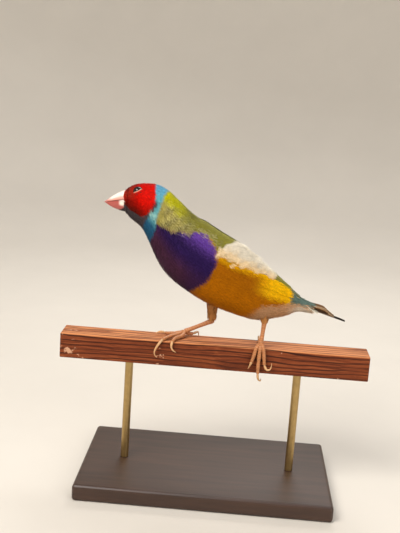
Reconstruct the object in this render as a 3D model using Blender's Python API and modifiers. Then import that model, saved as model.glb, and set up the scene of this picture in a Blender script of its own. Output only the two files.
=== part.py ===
"""A life-size red-headed Gouldian finch on a cut length of square perch, held up by a plain display stand.

Run it with blender --background --python part.py, or from Blender's text editor.
The bird faces -X, its left side is towards -Y, and +Z is up. The origin is under the middle of the base.
"""

import math

import bmesh
import bpy
import numpy as np
from mathutils import Matrix, Vector

MM = 0.001
GAP = 0.3

# Stand and perch, in millimetres
BASE_SIZE = (124.0, 76.0, 8.0)
BASE_BEVEL = 1.6
ROD_RADIUS = 2.0
ROD_LENGTH = 52.0
ROD_X = 42.0
PERCH_SIZE = (152.0, 15.0, 12.5)
PERCH_BEVEL = 0.5
PERCH_TOP = BASE_SIZE[2] + ROD_LENGTH + 2 * GAP + PERCH_SIZE[2]

# The bird's form: at each station the back and belly points of the side view (x, z), the half width,
# and how much wider the section is towards the back. Heights are above the perch's top.
STATIONS = {
    "bill_base": (-47.6, 72.3, -47.9, 61.4, 4.6, 0.10),
    "lores": (-45.6, 74.1, -45.5, 58.5, 6.2, 0.16),
    "eyes": (-42.4, 75.3, -41.9, 55.9, 7.5, 0.20),
    "crown": (-38.1, 75.8, -38.8, 53.0, 8.0, 0.18),
    "nape": (-30.2, 74.6, -35.2, 46.6, 8.5, 0.05),
    "neck": (-21.4, 68.0, -30.9, 38.6, 11.0, 0.0),
    "shoulder": (-15.3, 62.9, -26.7, 33.1, 13.6, -0.04),
    "breast": (-8.8, 58.9, -20.7, 28.1, 15.2, -0.06),
    "mantle": (-1.2, 54.5, -13.2, 23.5, 15.9, -0.06),
    "side": (6.6, 50.5, -5.3, 19.5, 15.9, -0.06),
    "flank": (13.4, 46.0, 3.3, 16.5, 15.2, -0.06),
    "belly": (19.7, 41.3, 11.9, 14.1, 13.6, -0.06),
    "rump": (26.3, 36.5, 20.4, 12.8, 11.2, -0.04),
    "vent": (32.0, 32.0, 28.1, 14.3, 8.4, 0.0),
    "coverts": (36.8, 28.3, 34.3, 16.1, 6.2, 0.0),
    "tail_root": (41.3, 25.0, 39.5, 18.5, 4.6, 0.0),
    "tail_middle": (50.6, 21.4, 50.0, 17.4, 3.6, 0.0),
    "tail_end": (62.8, 16.6, 62.4, 14.8, 2.4, 0.0),
}
SECTION_POWER = 0.86

HEAD_END = 4.25
NECK_END = 6.0
TORSO_END = 14.9
TAIL_CORE_END = 15.7

EYE_STATION = 2.12
EYE_HEIGHT = 73.0
EYE_RADIUS = 2.35
EYE_SUNK = 1.35
LID_RADIUS = 1.95
LID_THICK = 0.45

BILL_TIP = Vector((-58.5, 0.0, 65.1))
BILL_FACE_TOP = Vector((-47.9, 0.0, 72.0))
BILL_FACE_BOTTOM = Vector((-48.2, 0.0, 61.7))
GAPE = Vector((-48.0, 0.0, 67.5))
CULMEN_BULGE = 0.7
GONYS_BULGE = 0.9
MOUTH_BULGE = 0.25
BILL_HALF_WIDTH = 4.1
NOSTRIL = (-49.9, 2.7, 70.6)
NOSTRIL_RADIUS = 0.55

WING_START = 6.35
WING_PLATE_END = 13.7
BED_DEPTH = 1.3
PLATE_LOW = BED_DEPTH - GAP
PLATE_THICK = 0.7
PLATE_ROWS = 13
PLATE_COLUMNS = 4
VANE_THICK = 0.6
VANE_ROWS = 5
SHAFT_CROWN = 0.13
FEATHER_STEP = 0.08

# Tiers of the folded wing. root and tip are stations, root_down and tip_down say how far down the wing they
# lie, and height is above the form, each for the uppermost and the lowest feather of the tier.
WING_TIERS = {
    "primary": {
        "count": 5, "root": (9.9, 10.15), "tip": (14.8, 13.7), "root_down": (0.55, 0.86),
        "tip_down": (0.3, 0.85),
        "height": (0.0, -0.3), "rise": 0.25, "width": 4.2, "broadest": 0.45, "tip_share": 0.22,
    },
    "secondary": {
        "count": 5, "root": (9.0, 9.2), "tip": (13.6, 12.1), "root_down": (0.14, 0.8),
        "tip_down": (0.2, 0.86),
        "height": (0.35, 0.0), "rise": 0.15, "width": 5.4, "broadest": 0.6, "tip_share": 0.3,
    },
    "greater_covert": {
        "count": 6, "root": (7.9, 8.0), "tip": (10.4, 10.5), "root_down": (0.1, 0.92),
        "tip_down": (0.12, 0.9),
        "height": (0.35, 0.1), "rise": 0.1, "width": 5.0, "broadest": 0.6, "tip_share": 0.3,
    },
    "median_covert": {
        "count": 5, "root": (6.9, 7.0), "tip": (8.8, 8.9), "root_down": (0.1, 0.92),
        "tip_down": (0.12, 0.9),
        "height": (0.45, 0.2), "rise": 0.1, "width": 5.0, "broadest": 0.6, "tip_share": 0.3,
    },
}

TAIL_ROOT = TORSO_END + 0.4
TAIL_TIP = Vector((62.8, 0.0, 15.7))
TAIL_VANE_ROWS = 5
TAIL_LENGTHS = (1.0, 0.72, 0.66, 0.6, 0.55, 0.5)
CENTRE_PIN = {"start": 0.0, "width": 3.0, "broadest": 0.35, "tip_share": 0.3, "droop": 0.0}
TAIL_FEATHER = {"start": 0.0, "width": 3.8, "broadest": 0.75, "tip_share": 0.45, "droop": 0.0}
TAIL_COVERTS = {
    "upper_covert": {
        "count": 5, "start": -0.5, "length": 6.0, "height": 1.7, "spacing": 1.4, "arch": -0.24, "fan": 1.5,
        "roof": 16.0, "width": 3.2, "broadest": 0.7, "tip_share": 0.4, "droop": 1.3,
    },
    "under_covert": {
        "count": 4, "start": -0.5, "length": 8.5, "height": -1.6, "spacing": 1.8, "arch": 0.3, "fan": 1.2,
        "roof": -14.0, "width": 3.6, "broadest": 0.7, "tip_share": 0.4, "droop": -1.4,
    },
    "vent_feather": {
        "count": 4, "start": -0.5, "length": 5.0, "height": -2.2, "spacing": 1.8, "arch": 0.3, "fan": 1.2,
        "roof": -14.0, "width": 3.6, "broadest": 0.7, "tip_share": 0.4, "droop": -1.4,
    },
}

SHANK_STOP = 1.6
SHANK_END_RADIUS = 1.0
TOE_RADIUS = 0.85
TOE_TIP_RADIUS = 0.6
CLAW_RADIUS = 0.5
CLAW_TIP_RADIUS = 0.16

COLOURS = {
    "red_feather": ((0.62, 0.02, 0.01), 0.6),
    "green_feather": ((0.36, 0.38, 0.03), 0.6),
    "blue_feather": ((0.12, 0.42, 0.55), 0.6),
    "breast_feather": ((0.85, 0.42, 0.01), 0.65),
    "tail_feather": ((0.10, 0.08, 0.06), 0.55),
    "pale_feather": ((0.75, 0.62, 0.48), 0.7),
    "bill_horn": ((0.85, 0.50, 0.42), 0.35),
    "leg_scale": ((0.72, 0.38, 0.20), 0.45),
    "eye": ((0.01, 0.008, 0.007), 0.05),
    "perch_wood": ((0.28, 0.08, 0.035), 0.6),
    "stand_base": ((0.72, 0.72, 0.70), 0.45),
    "stand_rod": ((0.60, 0.60, 0.62), 0.3),
}


def clear_scene():
    for obj in list(bpy.data.objects):
        bpy.data.objects.remove(obj)


def make_collection(name):
    collection = bpy.data.collections.new(name)
    bpy.context.scene.collection.children.link(collection)
    return collection


def material(slot):
    found = bpy.data.materials.get(slot)
    if found:
        return found
    colour, roughness = COLOURS[slot]
    made = bpy.data.materials.new(slot)
    made.use_nodes = True
    shader = made.node_tree.nodes["Principled BSDF"]
    shader.inputs["Base Color"].default_value = (*colour, 1.0)
    shader.inputs["Roughness"].default_value = roughness
    shader.inputs["Metallic"].default_value = 1.0 if slot == "stand_rod" else 0.0
    return made


def spline(values):
    """A natural cubic through the values at 0, 1, 2 and so on, as a function that also takes arrays."""
    y = np.asarray(values, float)
    count = len(y)
    system = np.eye(count)
    right = np.zeros(count)
    for i in range(1, count - 1):
        system[i, i - 1 : i + 2] = (1.0, 4.0, 1.0)
        right[i] = 6.0 * (y[i + 1] - 2.0 * y[i] + y[i - 1])
    bend = np.linalg.solve(system, right)

    def at(place):
        place = np.clip(place, 0.0, count - 1.0)
        i = np.minimum(np.floor(place).astype(int), count - 2)
        b = place - i
        a = 1.0 - b
        return a * y[i] + b * y[i + 1] + ((a**3 - a) * bend[i] + (b**3 - b) * bend[i + 1]) / 6.0

    return at


FORM = [spline([row[column] for row in STATIONS.values()]) for column in range(6)]


def form_point(place, angle, height=0.0):
    """A point of the bird's form: place runs along the stations, angle from the back round its left side."""
    back_x, back_z, belly_x, belly_z, width, bias = (f(np.float64(place)) for f in FORM)
    centre = Vector(((back_x + belly_x) / 2, 0.0, (back_z + belly_z) / 2))
    up = Vector(((back_x - belly_x) / 2, 0.0, (back_z - belly_z) / 2))
    sine, cosine = math.sin(angle), math.cos(angle)
    across = -width * math.copysign(abs(sine) ** SECTION_POWER, sine) * (1.0 + bias * cosine)
    point = centre + up * cosine + Vector((0.0, across, 0.0))
    if height:
        point += form_normal(place, angle) * height
    return point


def form_normal(place, angle):
    step = 0.02
    along = form_point(place + step, angle) - form_point(place - step, angle)
    around = form_point(place, angle + step) - form_point(place, angle - step)
    return along.cross(around).normalized() * -1.0


def form_girth(place, angle):
    """Millimetres of surface for each radian round the section."""
    step = 0.05
    return (form_point(place, angle + step) - form_point(place, angle - step)).length / (2 * step)


def lift(point):
    """From millimetres over the perch's top to the model's frame, in metres."""
    return Vector((point.x, point.y, point.z + PERCH_TOP)) * MM


def mesh_object(name, points, faces, collection):
    mesh = bpy.data.meshes.new(name)
    mesh.from_pydata([lift(p) for p in points], [], faces)
    bm = bmesh.new()
    bm.from_mesh(mesh)
    bmesh.ops.recalc_face_normals(bm, faces=bm.faces)
    bm.to_mesh(mesh)
    bm.free()
    obj = bpy.data.objects.new(name, mesh)
    collection.objects.link(obj)
    return obj


def loft(name, rings, collection):
    """A closed body through rings of equal count, with a flat cap at each end."""
    count = len(rings[0])
    points = [p for ring in rings for p in ring]
    faces = []
    for i in range(len(rings) - 1):
        for j in range(count):
            k = (j + 1) % count
            faces.append((i * count + j, i * count + k, (i + 1) * count + k, (i + 1) * count + j))
    faces.append(tuple(range(count)))
    last = (len(rings) - 1) * count
    faces.append(tuple(last + j for j in range(count)))
    return mesh_object(name, points, faces, collection)


def form_loft(name, start, end, step, count, collection, grow=0.0):
    rows = max(2, round((end - start) / step))
    rings = []
    for i in range(rows + 1):
        place = start + (end - start) * i / rows
        rings.append([form_point(place, 2 * math.pi * j / count, grow) for j in range(count)])
    return loft(name, rings, collection)


def place_after(place, distance):
    """The station that lies so many millimetres of centre line further on."""
    step = 0.01
    ahead = (form_point(place + step, math.pi / 2) - form_point(place, math.pi / 2)).length / step
    return place + distance / ahead


def boolean(obj, operation, others, collection_name=None, solver="EXACT"):
    """Applies one Boolean with a collection of closed meshes, and removes those meshes."""
    group = bpy.data.collections.new(collection_name or f"{obj.name}_pieces")
    bpy.context.scene.collection.children.link(group)
    for other in others:
        for home in list(other.users_collection):
            home.objects.unlink(other)
        group.objects.link(other)
    modifier = obj.modifiers.new(operation.lower(), "BOOLEAN")
    modifier.operation = operation
    modifier.operand_type = "COLLECTION"
    modifier.collection = group
    modifier.solver = solver
    graph = bpy.context.evaluated_depsgraph_get()
    mesh = bpy.data.meshes.new_from_object(obj.evaluated_get(graph))
    obj.modifiers.clear()
    obj.data = mesh
    for other in others:
        bpy.data.objects.remove(other)
    bpy.data.collections.remove(group)
    keep_largest(obj)
    return obj


def signed_volume(face):
    a, b, c = (vert.co for vert in face.verts)
    return a.dot(b.cross(c))


def keep_largest(obj):
    """Leaves only the closed surface with the largest volume."""
    bm = bmesh.new()
    bm.from_mesh(obj.data)
    bmesh.ops.remove_doubles(bm, verts=bm.verts, dist=0.002 * MM)
    bmesh.ops.triangulate(bm, faces=bm.faces)
    seen = set()
    islands = []
    for start in bm.faces:
        if start in seen:
            continue
        seen.add(start)
        island, reach = [], [start]
        while reach:
            face = reach.pop()
            island.append(face)
            for edge in face.edges:
                for other in edge.link_faces:
                    if other not in seen:
                        seen.add(other)
                        reach.append(other)
        islands.append(island)
    if len(islands) > 1:
        volumes = [abs(sum(signed_volume(face) for face in island)) for island in islands]
        best = volumes.index(max(volumes))
        drop = [f for n, island in enumerate(islands) if n != best for f in island]
        bmesh.ops.delete(bm, geom=drop, context="FACES")
        loose = [v for v in bm.verts if not v.link_faces]
        bmesh.ops.delete(bm, geom=loose, context="VERTS")
    bm.to_mesh(obj.data)
    bm.free()


def finish(obj, slot, smooth=True):
    obj.data.materials.clear()
    obj.data.materials.append(material(slot))
    if smooth:
        obj.data.shade_smooth()
        obj.data.set_sharp_from_angle(angle=math.radians(40))
    return obj


def taper_tube(name, points, radii, collection, sides=8):
    """A round limb along a smooth path, thicker and thinner as its radii say, with both ends capped."""
    curve = bpy.data.curves.new(name, "CURVE")
    curve.dimensions = "3D"
    curve.bevel_depth = MM
    curve.bevel_resolution = sides // 2 - 2
    curve.use_fill_caps = True
    line = curve.splines.new("POLY")
    line.points.add(len(points) - 1)
    for spot, point, radius in zip(line.points, points, radii):
        spot.co = (*lift(Vector(point)), 1.0)
        spot.radius = radius
    obj = bpy.data.objects.new(name, curve)
    collection.objects.link(obj)
    graph = bpy.context.evaluated_depsgraph_get()
    mesh = bpy.data.meshes.new_from_object(obj.evaluated_get(graph))
    made = bpy.data.objects.new(f"{name}_tube", mesh)
    made.matrix_world = obj.matrix_world
    collection.objects.link(made)
    bpy.data.objects.remove(obj)
    bm = bmesh.new()
    bm.from_mesh(mesh)
    bmesh.ops.remove_doubles(bm, verts=bm.verts, dist=0.001 * MM)
    bmesh.ops.recalc_face_normals(bm, faces=bm.faces)
    bm.to_mesh(mesh)
    bm.free()
    made.name = name
    return made


def ball(name, centre, radius, collection, segments=16, rings=10, scale=(1.0, 1.0, 1.0)):
    mesh = bpy.data.meshes.new(name)
    bm = bmesh.new()
    bmesh.ops.create_uvsphere(bm, u_segments=segments, v_segments=rings, radius=radius * MM)
    bmesh.ops.scale(bm, vec=scale, verts=bm.verts)
    bmesh.ops.translate(bm, vec=lift(Vector(centre)), verts=bm.verts)
    bm.to_mesh(mesh)
    bm.free()
    obj = bpy.data.objects.new(name, mesh)
    collection.objects.link(obj)
    return obj


def box(name, size, centre, bevel, collection):
    """A rounded block. Its centre is in the model's own frame, in millimetres."""
    bpy.ops.mesh.primitive_cube_add(size=1.0)
    obj = bpy.context.object
    obj.name = name
    obj.data.name = name
    bm = bmesh.new()
    bm.from_mesh(obj.data)
    bmesh.ops.scale(bm, vec=Vector(size) * MM, verts=bm.verts)
    bm.to_mesh(obj.data)
    bm.free()
    obj.location = Vector(centre) * MM
    for home in list(obj.users_collection):
        home.objects.unlink(obj)
    collection.objects.link(obj)
    edge = obj.modifiers.new("rounded_edges", "BEVEL")
    edge.width = bevel * MM
    edge.segments = 3
    return obj


def smooth_path(points, per_span=3):
    """More points on a smooth line through the given ones."""
    axes = [spline([p[i] for p in points]) for i in range(len(points[0]))]
    places = np.linspace(0, len(points) - 1, (len(points) - 1) * per_span + 1)
    return np.stack([axis(places) for axis in axes], axis=1)


def leaf_width(share, broadest, tip):
    """A vane's half width as a share of its greatest: a firm root, a broad middle and a rounded tip."""
    if share <= broadest:
        return 0.55 + 0.45 * math.sin(math.pi / 2 * share / broadest)
    beyond = (share - broadest) / (1.0 - broadest)
    return tip + (1.0 - tip) * math.sqrt(max(0.0, 1.0 - beyond**2.4))


def vane(name, row_points, thickness, collection):
    """A closed feather vane. row_points holds, for each row, the left edge, the shaft and the right edge,
    each as a point and its outward normal. Both faces are split into the same triangles."""
    across = len(row_points[0])
    upper = [p for row in row_points for p, n in row]
    lower = [p - n * thickness for row in row_points for p, n in row]
    under = len(upper)
    faces = []
    rows = len(row_points)
    for i in range(rows - 1):
        for j in range(across - 1):
            a, b = i * across + j, i * across + j + 1
            c, d = b + across, a + across
            faces += [(a, b, c), (a, c, d)]
            faces += [(under + a, under + c, under + b), (under + a, under + d, under + c)]
        for j in (0, across - 1):
            a, d = i * across + j, (i + 1) * across + j
            side = [(a, d, under + d), (a, under + d, under + a)]
            faces += side if j == 0 else [tuple(reversed(f)) for f in side]
    for i in (0, rows - 1):
        for j in range(across - 1):
            a, b = i * across + j, i * across + j + 1
            end = [(a, under + a, under + b), (a, under + b, b)]
            faces += end if i == 0 else [tuple(reversed(f)) for f in end]
    return mesh_object(name, upper + lower, faces, collection)


def between(start, end, share):
    return start + (end - start) * share


LOWER_EDGE_ANGLES = (46.0, 56.0, 58.0, 56.0, 53.0, 48.0)
LOWER_EDGE = spline(LOWER_EDGE_ANGLES)


def wing_upper(place):
    """The angle from the back's middle at which the folded wing's upper edge lies."""
    share = (place - WING_START) / (WING_PLATE_END - WING_START)
    return math.radians(between(16.0, 10.0, min(1.0, max(0.0, share))))


def wing_lower(place):
    """The angle of the line where the flank's feathers cover the wing's lower edge."""
    share = min(1.0, max(0.0, (place - WING_START) / (WING_PLATE_END - WING_START)))
    return math.radians(LOWER_EDGE(share * (len(LOWER_EDGE_ANGLES) - 1)))


def wing_vane(name, side, root, tip, height, row, collection):
    """A feather laid on the form's side, from root to tip, each given as (place, angle)."""
    rows_made = []
    inset = 0.01 + 0.02 * abs(math.sin(40.0 * root[1]))
    for i in range(VANE_ROWS):
        share = i / (VANE_ROWS - 1)
        place, angle = between(root[0], tip[0], share), between(root[1], tip[1], share)
        half = row["width"] / 2 * leaf_width(share, row["broadest"], row["tip_share"])
        level = height + row["rise"] * share
        spread = half / form_girth(place, side * angle)
        first, last = wing_upper(place) + inset, wing_lower(place) - inset
        points = []
        for out, crown in ((-1.0, 0.0), (0.0, SHAFT_CROWN), (1.0, 0.0)):
            at = side * min(last + 0.01 * out, max(first + 0.01 * out, angle + out * spread))
            points.append((form_point(place, at, level + crown), form_normal(place, at)))
        rows_made.append(points)
    return vane(name, rows_made, VANE_THICK, collection)


def form_slab(name, side, places, upper_edge, lower_edge, low, high, across, collection):
    """A plate that follows the form between two edges, each a function from place to angle."""
    top, bottom = [], []
    for place in places:
        first, last = upper_edge(place), lower_edge(place)
        for j in range(across + 1):
            angle = side * (first + (last - first) * j / across)
            top.append(form_point(place, angle, high))
            bottom.append(form_point(place, angle, low))
    width = across + 1
    under = len(top)
    rows = len(places)
    faces = []
    for i in range(rows - 1):
        for j in range(across):
            a, b = i * width + j, i * width + j + 1
            c, d = b + width, a + width
            faces += [(a, b, c), (a, c, d)]
            faces += [(under + a, under + c, under + b), (under + a, under + d, under + c)]
        for j in (0, across):
            a, d = i * width + j, (i + 1) * width + j
            edge = (a, d, under + d, under + a)
            faces.append(edge if j == 0 else tuple(reversed(edge)))
    for i in (0, rows - 1):
        for j in range(across):
            a, b = i * width + j, i * width + j + 1
            edge = (a, under + a, under + b, b)
            faces.append(edge if i == 0 else tuple(reversed(edge)))
    return mesh_object(name, top + bottom, faces, collection)


def make_stand(parts):
    """A flat base and two short rods that end just under the perch."""
    base = box("stand_base", BASE_SIZE, (0.0, 0.0, BASE_SIZE[2] / 2), BASE_BEVEL, parts)
    finish(base, "stand_base")
    for name, x in (("stand_rod_front", -ROD_X), ("stand_rod_back", ROD_X)):
        bpy.ops.mesh.primitive_cylinder_add(vertices=24, radius=ROD_RADIUS * MM, depth=ROD_LENGTH * MM)
        rod = bpy.context.object
        rod.name = name
        rod.location = Vector((x, 0.0, BASE_SIZE[2] + GAP + ROD_LENGTH / 2)) * MM
        for home in list(rod.users_collection):
            home.objects.unlink(rod)
        parts.objects.link(rod)
        finish(rod, "stand_rod")


def make_perch(parts):
    perch = box("perch", PERCH_SIZE, (0.0, 0.0, PERCH_TOP - PERCH_SIZE[2] / 2), PERCH_BEVEL, parts)
    finish(perch, "perch_wood")


def eye_spot(side):
    """The centre of the eyeball and the head's outward normal there."""
    angle = 0.1
    while form_point(EYE_STATION, angle).z > EYE_HEIGHT:
        angle += 0.01
    spot = form_point(EYE_STATION, side * angle)
    normal = form_normal(EYE_STATION, side * angle)
    return spot, normal


def make_head(parts):
    """The head with its lids raised round the eyes, and the eyeballs in their sockets."""
    head = form_loft("head", 0.0, HEAD_END, 0.33, 28, parts)
    lids, sockets = [], []
    for name, side in (("left", 1), ("right", -1)):
        spot, normal = eye_spot(side)
        bpy.ops.mesh.primitive_torus_add(
            major_radius=LID_RADIUS * MM, minor_radius=LID_THICK * MM, major_segments=16, minor_segments=6
        )
        ring = bpy.context.object
        turn = normal.to_track_quat("Z", "Y").to_matrix().to_4x4()
        ring.data.transform(Matrix.Diagonal((1.0, 0.8, 0.9, 1.0)))
        ring.data.transform(Matrix.Translation(lift(spot - normal * 0.1)) @ turn)
        lids.append(ring)
        centre = spot - normal * EYE_SUNK
        sockets.append(ball(f"socket_{name}", centre, EYE_RADIUS + GAP, parts, 16, 10))
        finish(ball(f"eye_{name}", centre, EYE_RADIUS, parts, 16, 12), "eye")
    boolean(head, "UNION", lids)
    boolean(head, "DIFFERENCE", sockets)
    finish(head, "red_feather")


def bill_ring(share, upper, count=14):
    """One section of a mandible, from the face at share 0 to the tip at 1."""
    ridge = (BILL_FACE_TOP if upper else BILL_FACE_BOTTOM).lerp(BILL_TIP, share)
    bulge = CULMEN_BULGE if upper else -GONYS_BULGE
    ridge = ridge + Vector((0.0, 0.0, bulge * math.sin(math.pi * share)))
    line = GAPE.lerp(BILL_TIP, share) + Vector((0.0, 0.0, MOUTH_BULGE * math.sin(math.pi * share)))
    line.z += GAP / 2 if upper else -GAP / 2
    if not upper:
        ridge.x += 0.5 * share
        line.x += 0.5 * share
    width = BILL_HALF_WIDTH * (1.0 - share) ** 0.92 + 0.22
    height = ridge - line
    if height.length < 0.3:
        height = Vector((0.0, 0.0, 0.3 if upper else -0.3))
    ring = []
    for j in range(count + 1):
        angle = math.pi * j / count
        out = width * math.copysign(abs(math.cos(angle)) ** 0.8, math.cos(angle))
        ring.append(line + height * math.sin(angle) ** 0.9 + Vector((0.0, out, 0.0)))
    return ring


def make_bill(parts):
    rows = 9
    for name, upper in (("bill_upper", True), ("bill_lower", False)):
        rings = [bill_ring(i / rows, upper) for i in range(rows + 1)]
        bill = loft(name, rings, parts)
        if upper:
            pits = []
            for side in (-1, 1):
                spot = (NOSTRIL[0], side * NOSTRIL[1], NOSTRIL[2])
                pits.append(ball(f"nostril_{side}", spot, NOSTRIL_RADIUS, parts, 10, 8, (1.3, 1.2, 0.8)))
            boolean(bill, "DIFFERENCE", pits)
        finish(bill, "bill_horn")


def wing_room(side, start, end, parts):
    """The space a folded wing lies in, cut out of the body and the tail so that a gap stays all round it."""
    margin = math.radians(1.6)
    places = np.linspace(start, end, round((end - start) / 0.6))
    above, below = (lambda p: wing_upper(p) - margin), (lambda p: wing_lower(p) + margin)
    return form_slab(f"wing_room_{side}", side, places, above, below, -BED_DEPTH, 2.5, 4, parts)


def make_neck_and_torso(parts):
    neck_start = place_after(HEAD_END, GAP)
    neck = form_loft("neck", neck_start, NECK_END, 0.42, 28, parts)
    finish(neck, "blue_feather")
    torso = form_loft("torso", place_after(NECK_END, GAP), TORSO_END, 0.5, 32, parts)
    beds = [wing_room(side, WING_START - 0.12, TORSO_END + 0.6, parts) for side in (-1, 1)]
    boolean(torso, "DIFFERENCE", beds)
    finish(torso, "breast_feather")


def wing_angle(place, share):
    """An angle that lies so far down from the wing's upper edge to its lower edge."""
    return between(wing_upper(place), wing_lower(place), share)


def make_wing(name, side, parts):
    """A folded wing: a plate against the body, then its feathers in overlapping tiers."""
    places = np.linspace(WING_START, WING_PLATE_END, PLATE_ROWS)
    high = -PLATE_LOW + PLATE_THICK
    plate = form_slab(name, side, places, wing_upper, wing_lower, -PLATE_LOW, high, PLATE_COLUMNS, parts)
    vanes = []
    for tier, row in WING_TIERS.items():
        for i in range(row["count"]):
            share = i / (row["count"] - 1)
            root_place, tip_place = between(*row["root"], share), between(*row["tip"], share)
            root = (root_place, wing_angle(root_place, between(*row["root_down"], share)))
            tip = (tip_place, wing_angle(tip_place, between(*row["tip_down"], share)))
            height = between(*row["height"], share) + FEATHER_STEP * (i % 2)
            vanes.append(wing_vane(f"{tier}_{i}", side, root, tip, height, row, parts))
    boolean(plate, "UNION", vanes, solver="MANIFOLD")
    finish(plate, "green_feather")


def tail_frame():
    """The tail's root, its directions along, across and up, and its length."""
    root = (form_point(TAIL_ROOT, 0.0) + form_point(TAIL_ROOT, math.pi)) / 2
    along = (TAIL_TIP - root).normalized()
    across = Vector((0.0, -1.0, 0.0))
    up = along.cross(across).normalized()
    return root, along, across, up, (TAIL_TIP - root).length


def tail_vane(name, lateral, level, fan, roof, length, row, parts):
    """A straight feather of the tail, turned out by fan and rolled down by roof, both in degrees."""
    root, along, across, up, _ = tail_frame()
    fan, roof = math.radians(fan), math.radians(roof)
    turned = along * math.cos(fan) + across * math.sin(fan)
    aside = across * math.cos(fan) - along * math.sin(fan)
    flat = aside * math.cos(roof) - up * math.sin(roof)
    normal = aside * math.sin(roof) + up * math.cos(roof)
    rows_made = []
    for i in range(TAIL_VANE_ROWS):
        share = i / (TAIL_VANE_ROWS - 1)
        half = row["width"] / 2 * leaf_width(share, row["broadest"], row["tip_share"])
        middle = root + turned * (row["start"] + length * share)
        middle += across * lateral + up * (level - row["droop"] * share**2)
        edges = ((-1.0, 0.0), (0.0, SHAFT_CROWN), (1.0, 0.0))
        rows_made.append([(middle + flat * half * out + normal * crown, normal) for out, crown in edges])
    return vane(name, rows_made, VANE_THICK, parts)


def make_tail(parts):
    """The rump's end with six pairs of tail feathers, blue coverts above them and white ones below."""
    tail = form_loft("tail", place_after(TORSO_END, GAP), TAIL_CORE_END, 0.3, 16, parts)
    length = tail_frame()[4]
    vanes = []
    for i, share in enumerate(TAIL_LENGTHS):
        row = CENTRE_PIN if i == 0 else TAIL_FEATHER
        for side in (-1, 1):
            lateral = side * (0.45 + 0.42 * i)
            level = 0.5 - 0.27 * i + FEATHER_STEP * side
            fan, roof = side * (0.2 + i), side * (8.0 + 7.0 * i)
            name = f"rectrix_{i}_{side}"
            vanes.append(tail_vane(name, lateral, level, fan, roof, length * share, row, parts))
    for tier, row in TAIL_COVERTS.items():
        for i in range(row["count"]):
            offset = i - (row["count"] - 1) / 2
            lateral = offset * row["spacing"]
            level = row["height"] + row["arch"] * offset * offset + FEATHER_STEP * (i % 2)
            fan, roof = offset * row["fan"], offset * row["roof"]
            reach = row["length"] - abs(offset)
            vanes.append(tail_vane(f"{tier}_{i}", lateral, level, fan, roof, reach, row, parts))
    boolean(tail, "UNION", vanes, solver="MANIFOLD")
    torso_stop = place_after(TORSO_END, GAP * 0.98)
    room = form_loft("torso_room", TORSO_END - 2.0, torso_stop, 0.3, 24, parts, grow=GAP)
    boolean(tail, "DIFFERENCE", [room])
    finish(tail, "tail_feather")


LEGS = {
    "left": {
        "hip": (22.9, -5.2, 20.0), "heel": (23.4, -5.4, 13.2), "foot": (22.5, -6.6, 2.3), "radii": (3.0, 1.5),
    },
    "right": {
        "hip": (-2.9, 5.2, 24.0), "heel": (-2.4, 5.2, 8.6), "foot": (-15.6, 3.4, 2.6), "radii": (3.1, 1.9),
    },
}
TOES = {
    "left": {
        "inner": (
            [(20.6, -8.6, 0.9), (19.6, -9.0, -3.0), (18.6, -9.0, -6.6)],
            [(18.0, -9.1, -8.2), (17.2, -8.7, -10.2)],
        ),
        "middle": (
            [(22.3, -8.9, 0.5), (22.1, -9.2, -4.0), (22.0, -9.2, -8.5), (22.1, -9.0, -12.4)],
            [(22.5, -8.4, -15.0), (23.6, -7.2, -16.4), (24.0, -6.0, -15.6)],
        ),
        "outer": (
            [(23.8, -8.6, 0.7), (24.5, -9.0, -3.6), (25.0, -9.1, -7.6)],
            [(26.3, -9.3, -9.8), (28.0, -9.4, -9.2), (28.5, -9.2, -6.4)],
        ),
        "hallux": (
            [(22.5, -3.6, 1.9), (22.2, -0.4, 1.4), (21.9, 2.8, 1.5)],
            [(21.7, 5.6, 2.2), (21.5, 8.2, 1.2), (21.5, 8.9, -1.2)],
        ),
    },
    "right": {
        "inner": (
            [(-16.4, -0.6, 1.45), (-19.0, -4.6, 1.35), (-20.6, -8.4, 0.5)],
            [(-20.9, -9.1, -2.0), (-19.9, -9.2, -3.9), (-18.4, -8.9, -4.8)],
        ),
        "middle": (
            [(-18.4, 1.0, 1.7), (-22.0, -2.6, 1.35), (-25.4, -7.6, 0.9)],
            [(-28.0, -9.3, -2.6), (-29.0, -9.3, -6.0), (-27.8, -8.9, -8.1)],
        ),
        "outer": (
            [(-18.8, 3.2, 1.7), (-22.0, 3.2, 1.25), (-25.4, 3.2, 1.15)],
            [(-27.2, 3.0, 1.7), (-28.8, 2.6, 1.4), (-29.7, 2.3, 0.6)],
        ),
        "hallux": (
            [(-13.8, 4.6, 1.5), (-11.2, 5.4, 1.3)],
            [(-9.6, 6.4, 1.9), (-8.8, 7.9, 1.3), (-8.6, 8.7, -0.7)],
        ),
    },
}


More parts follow.
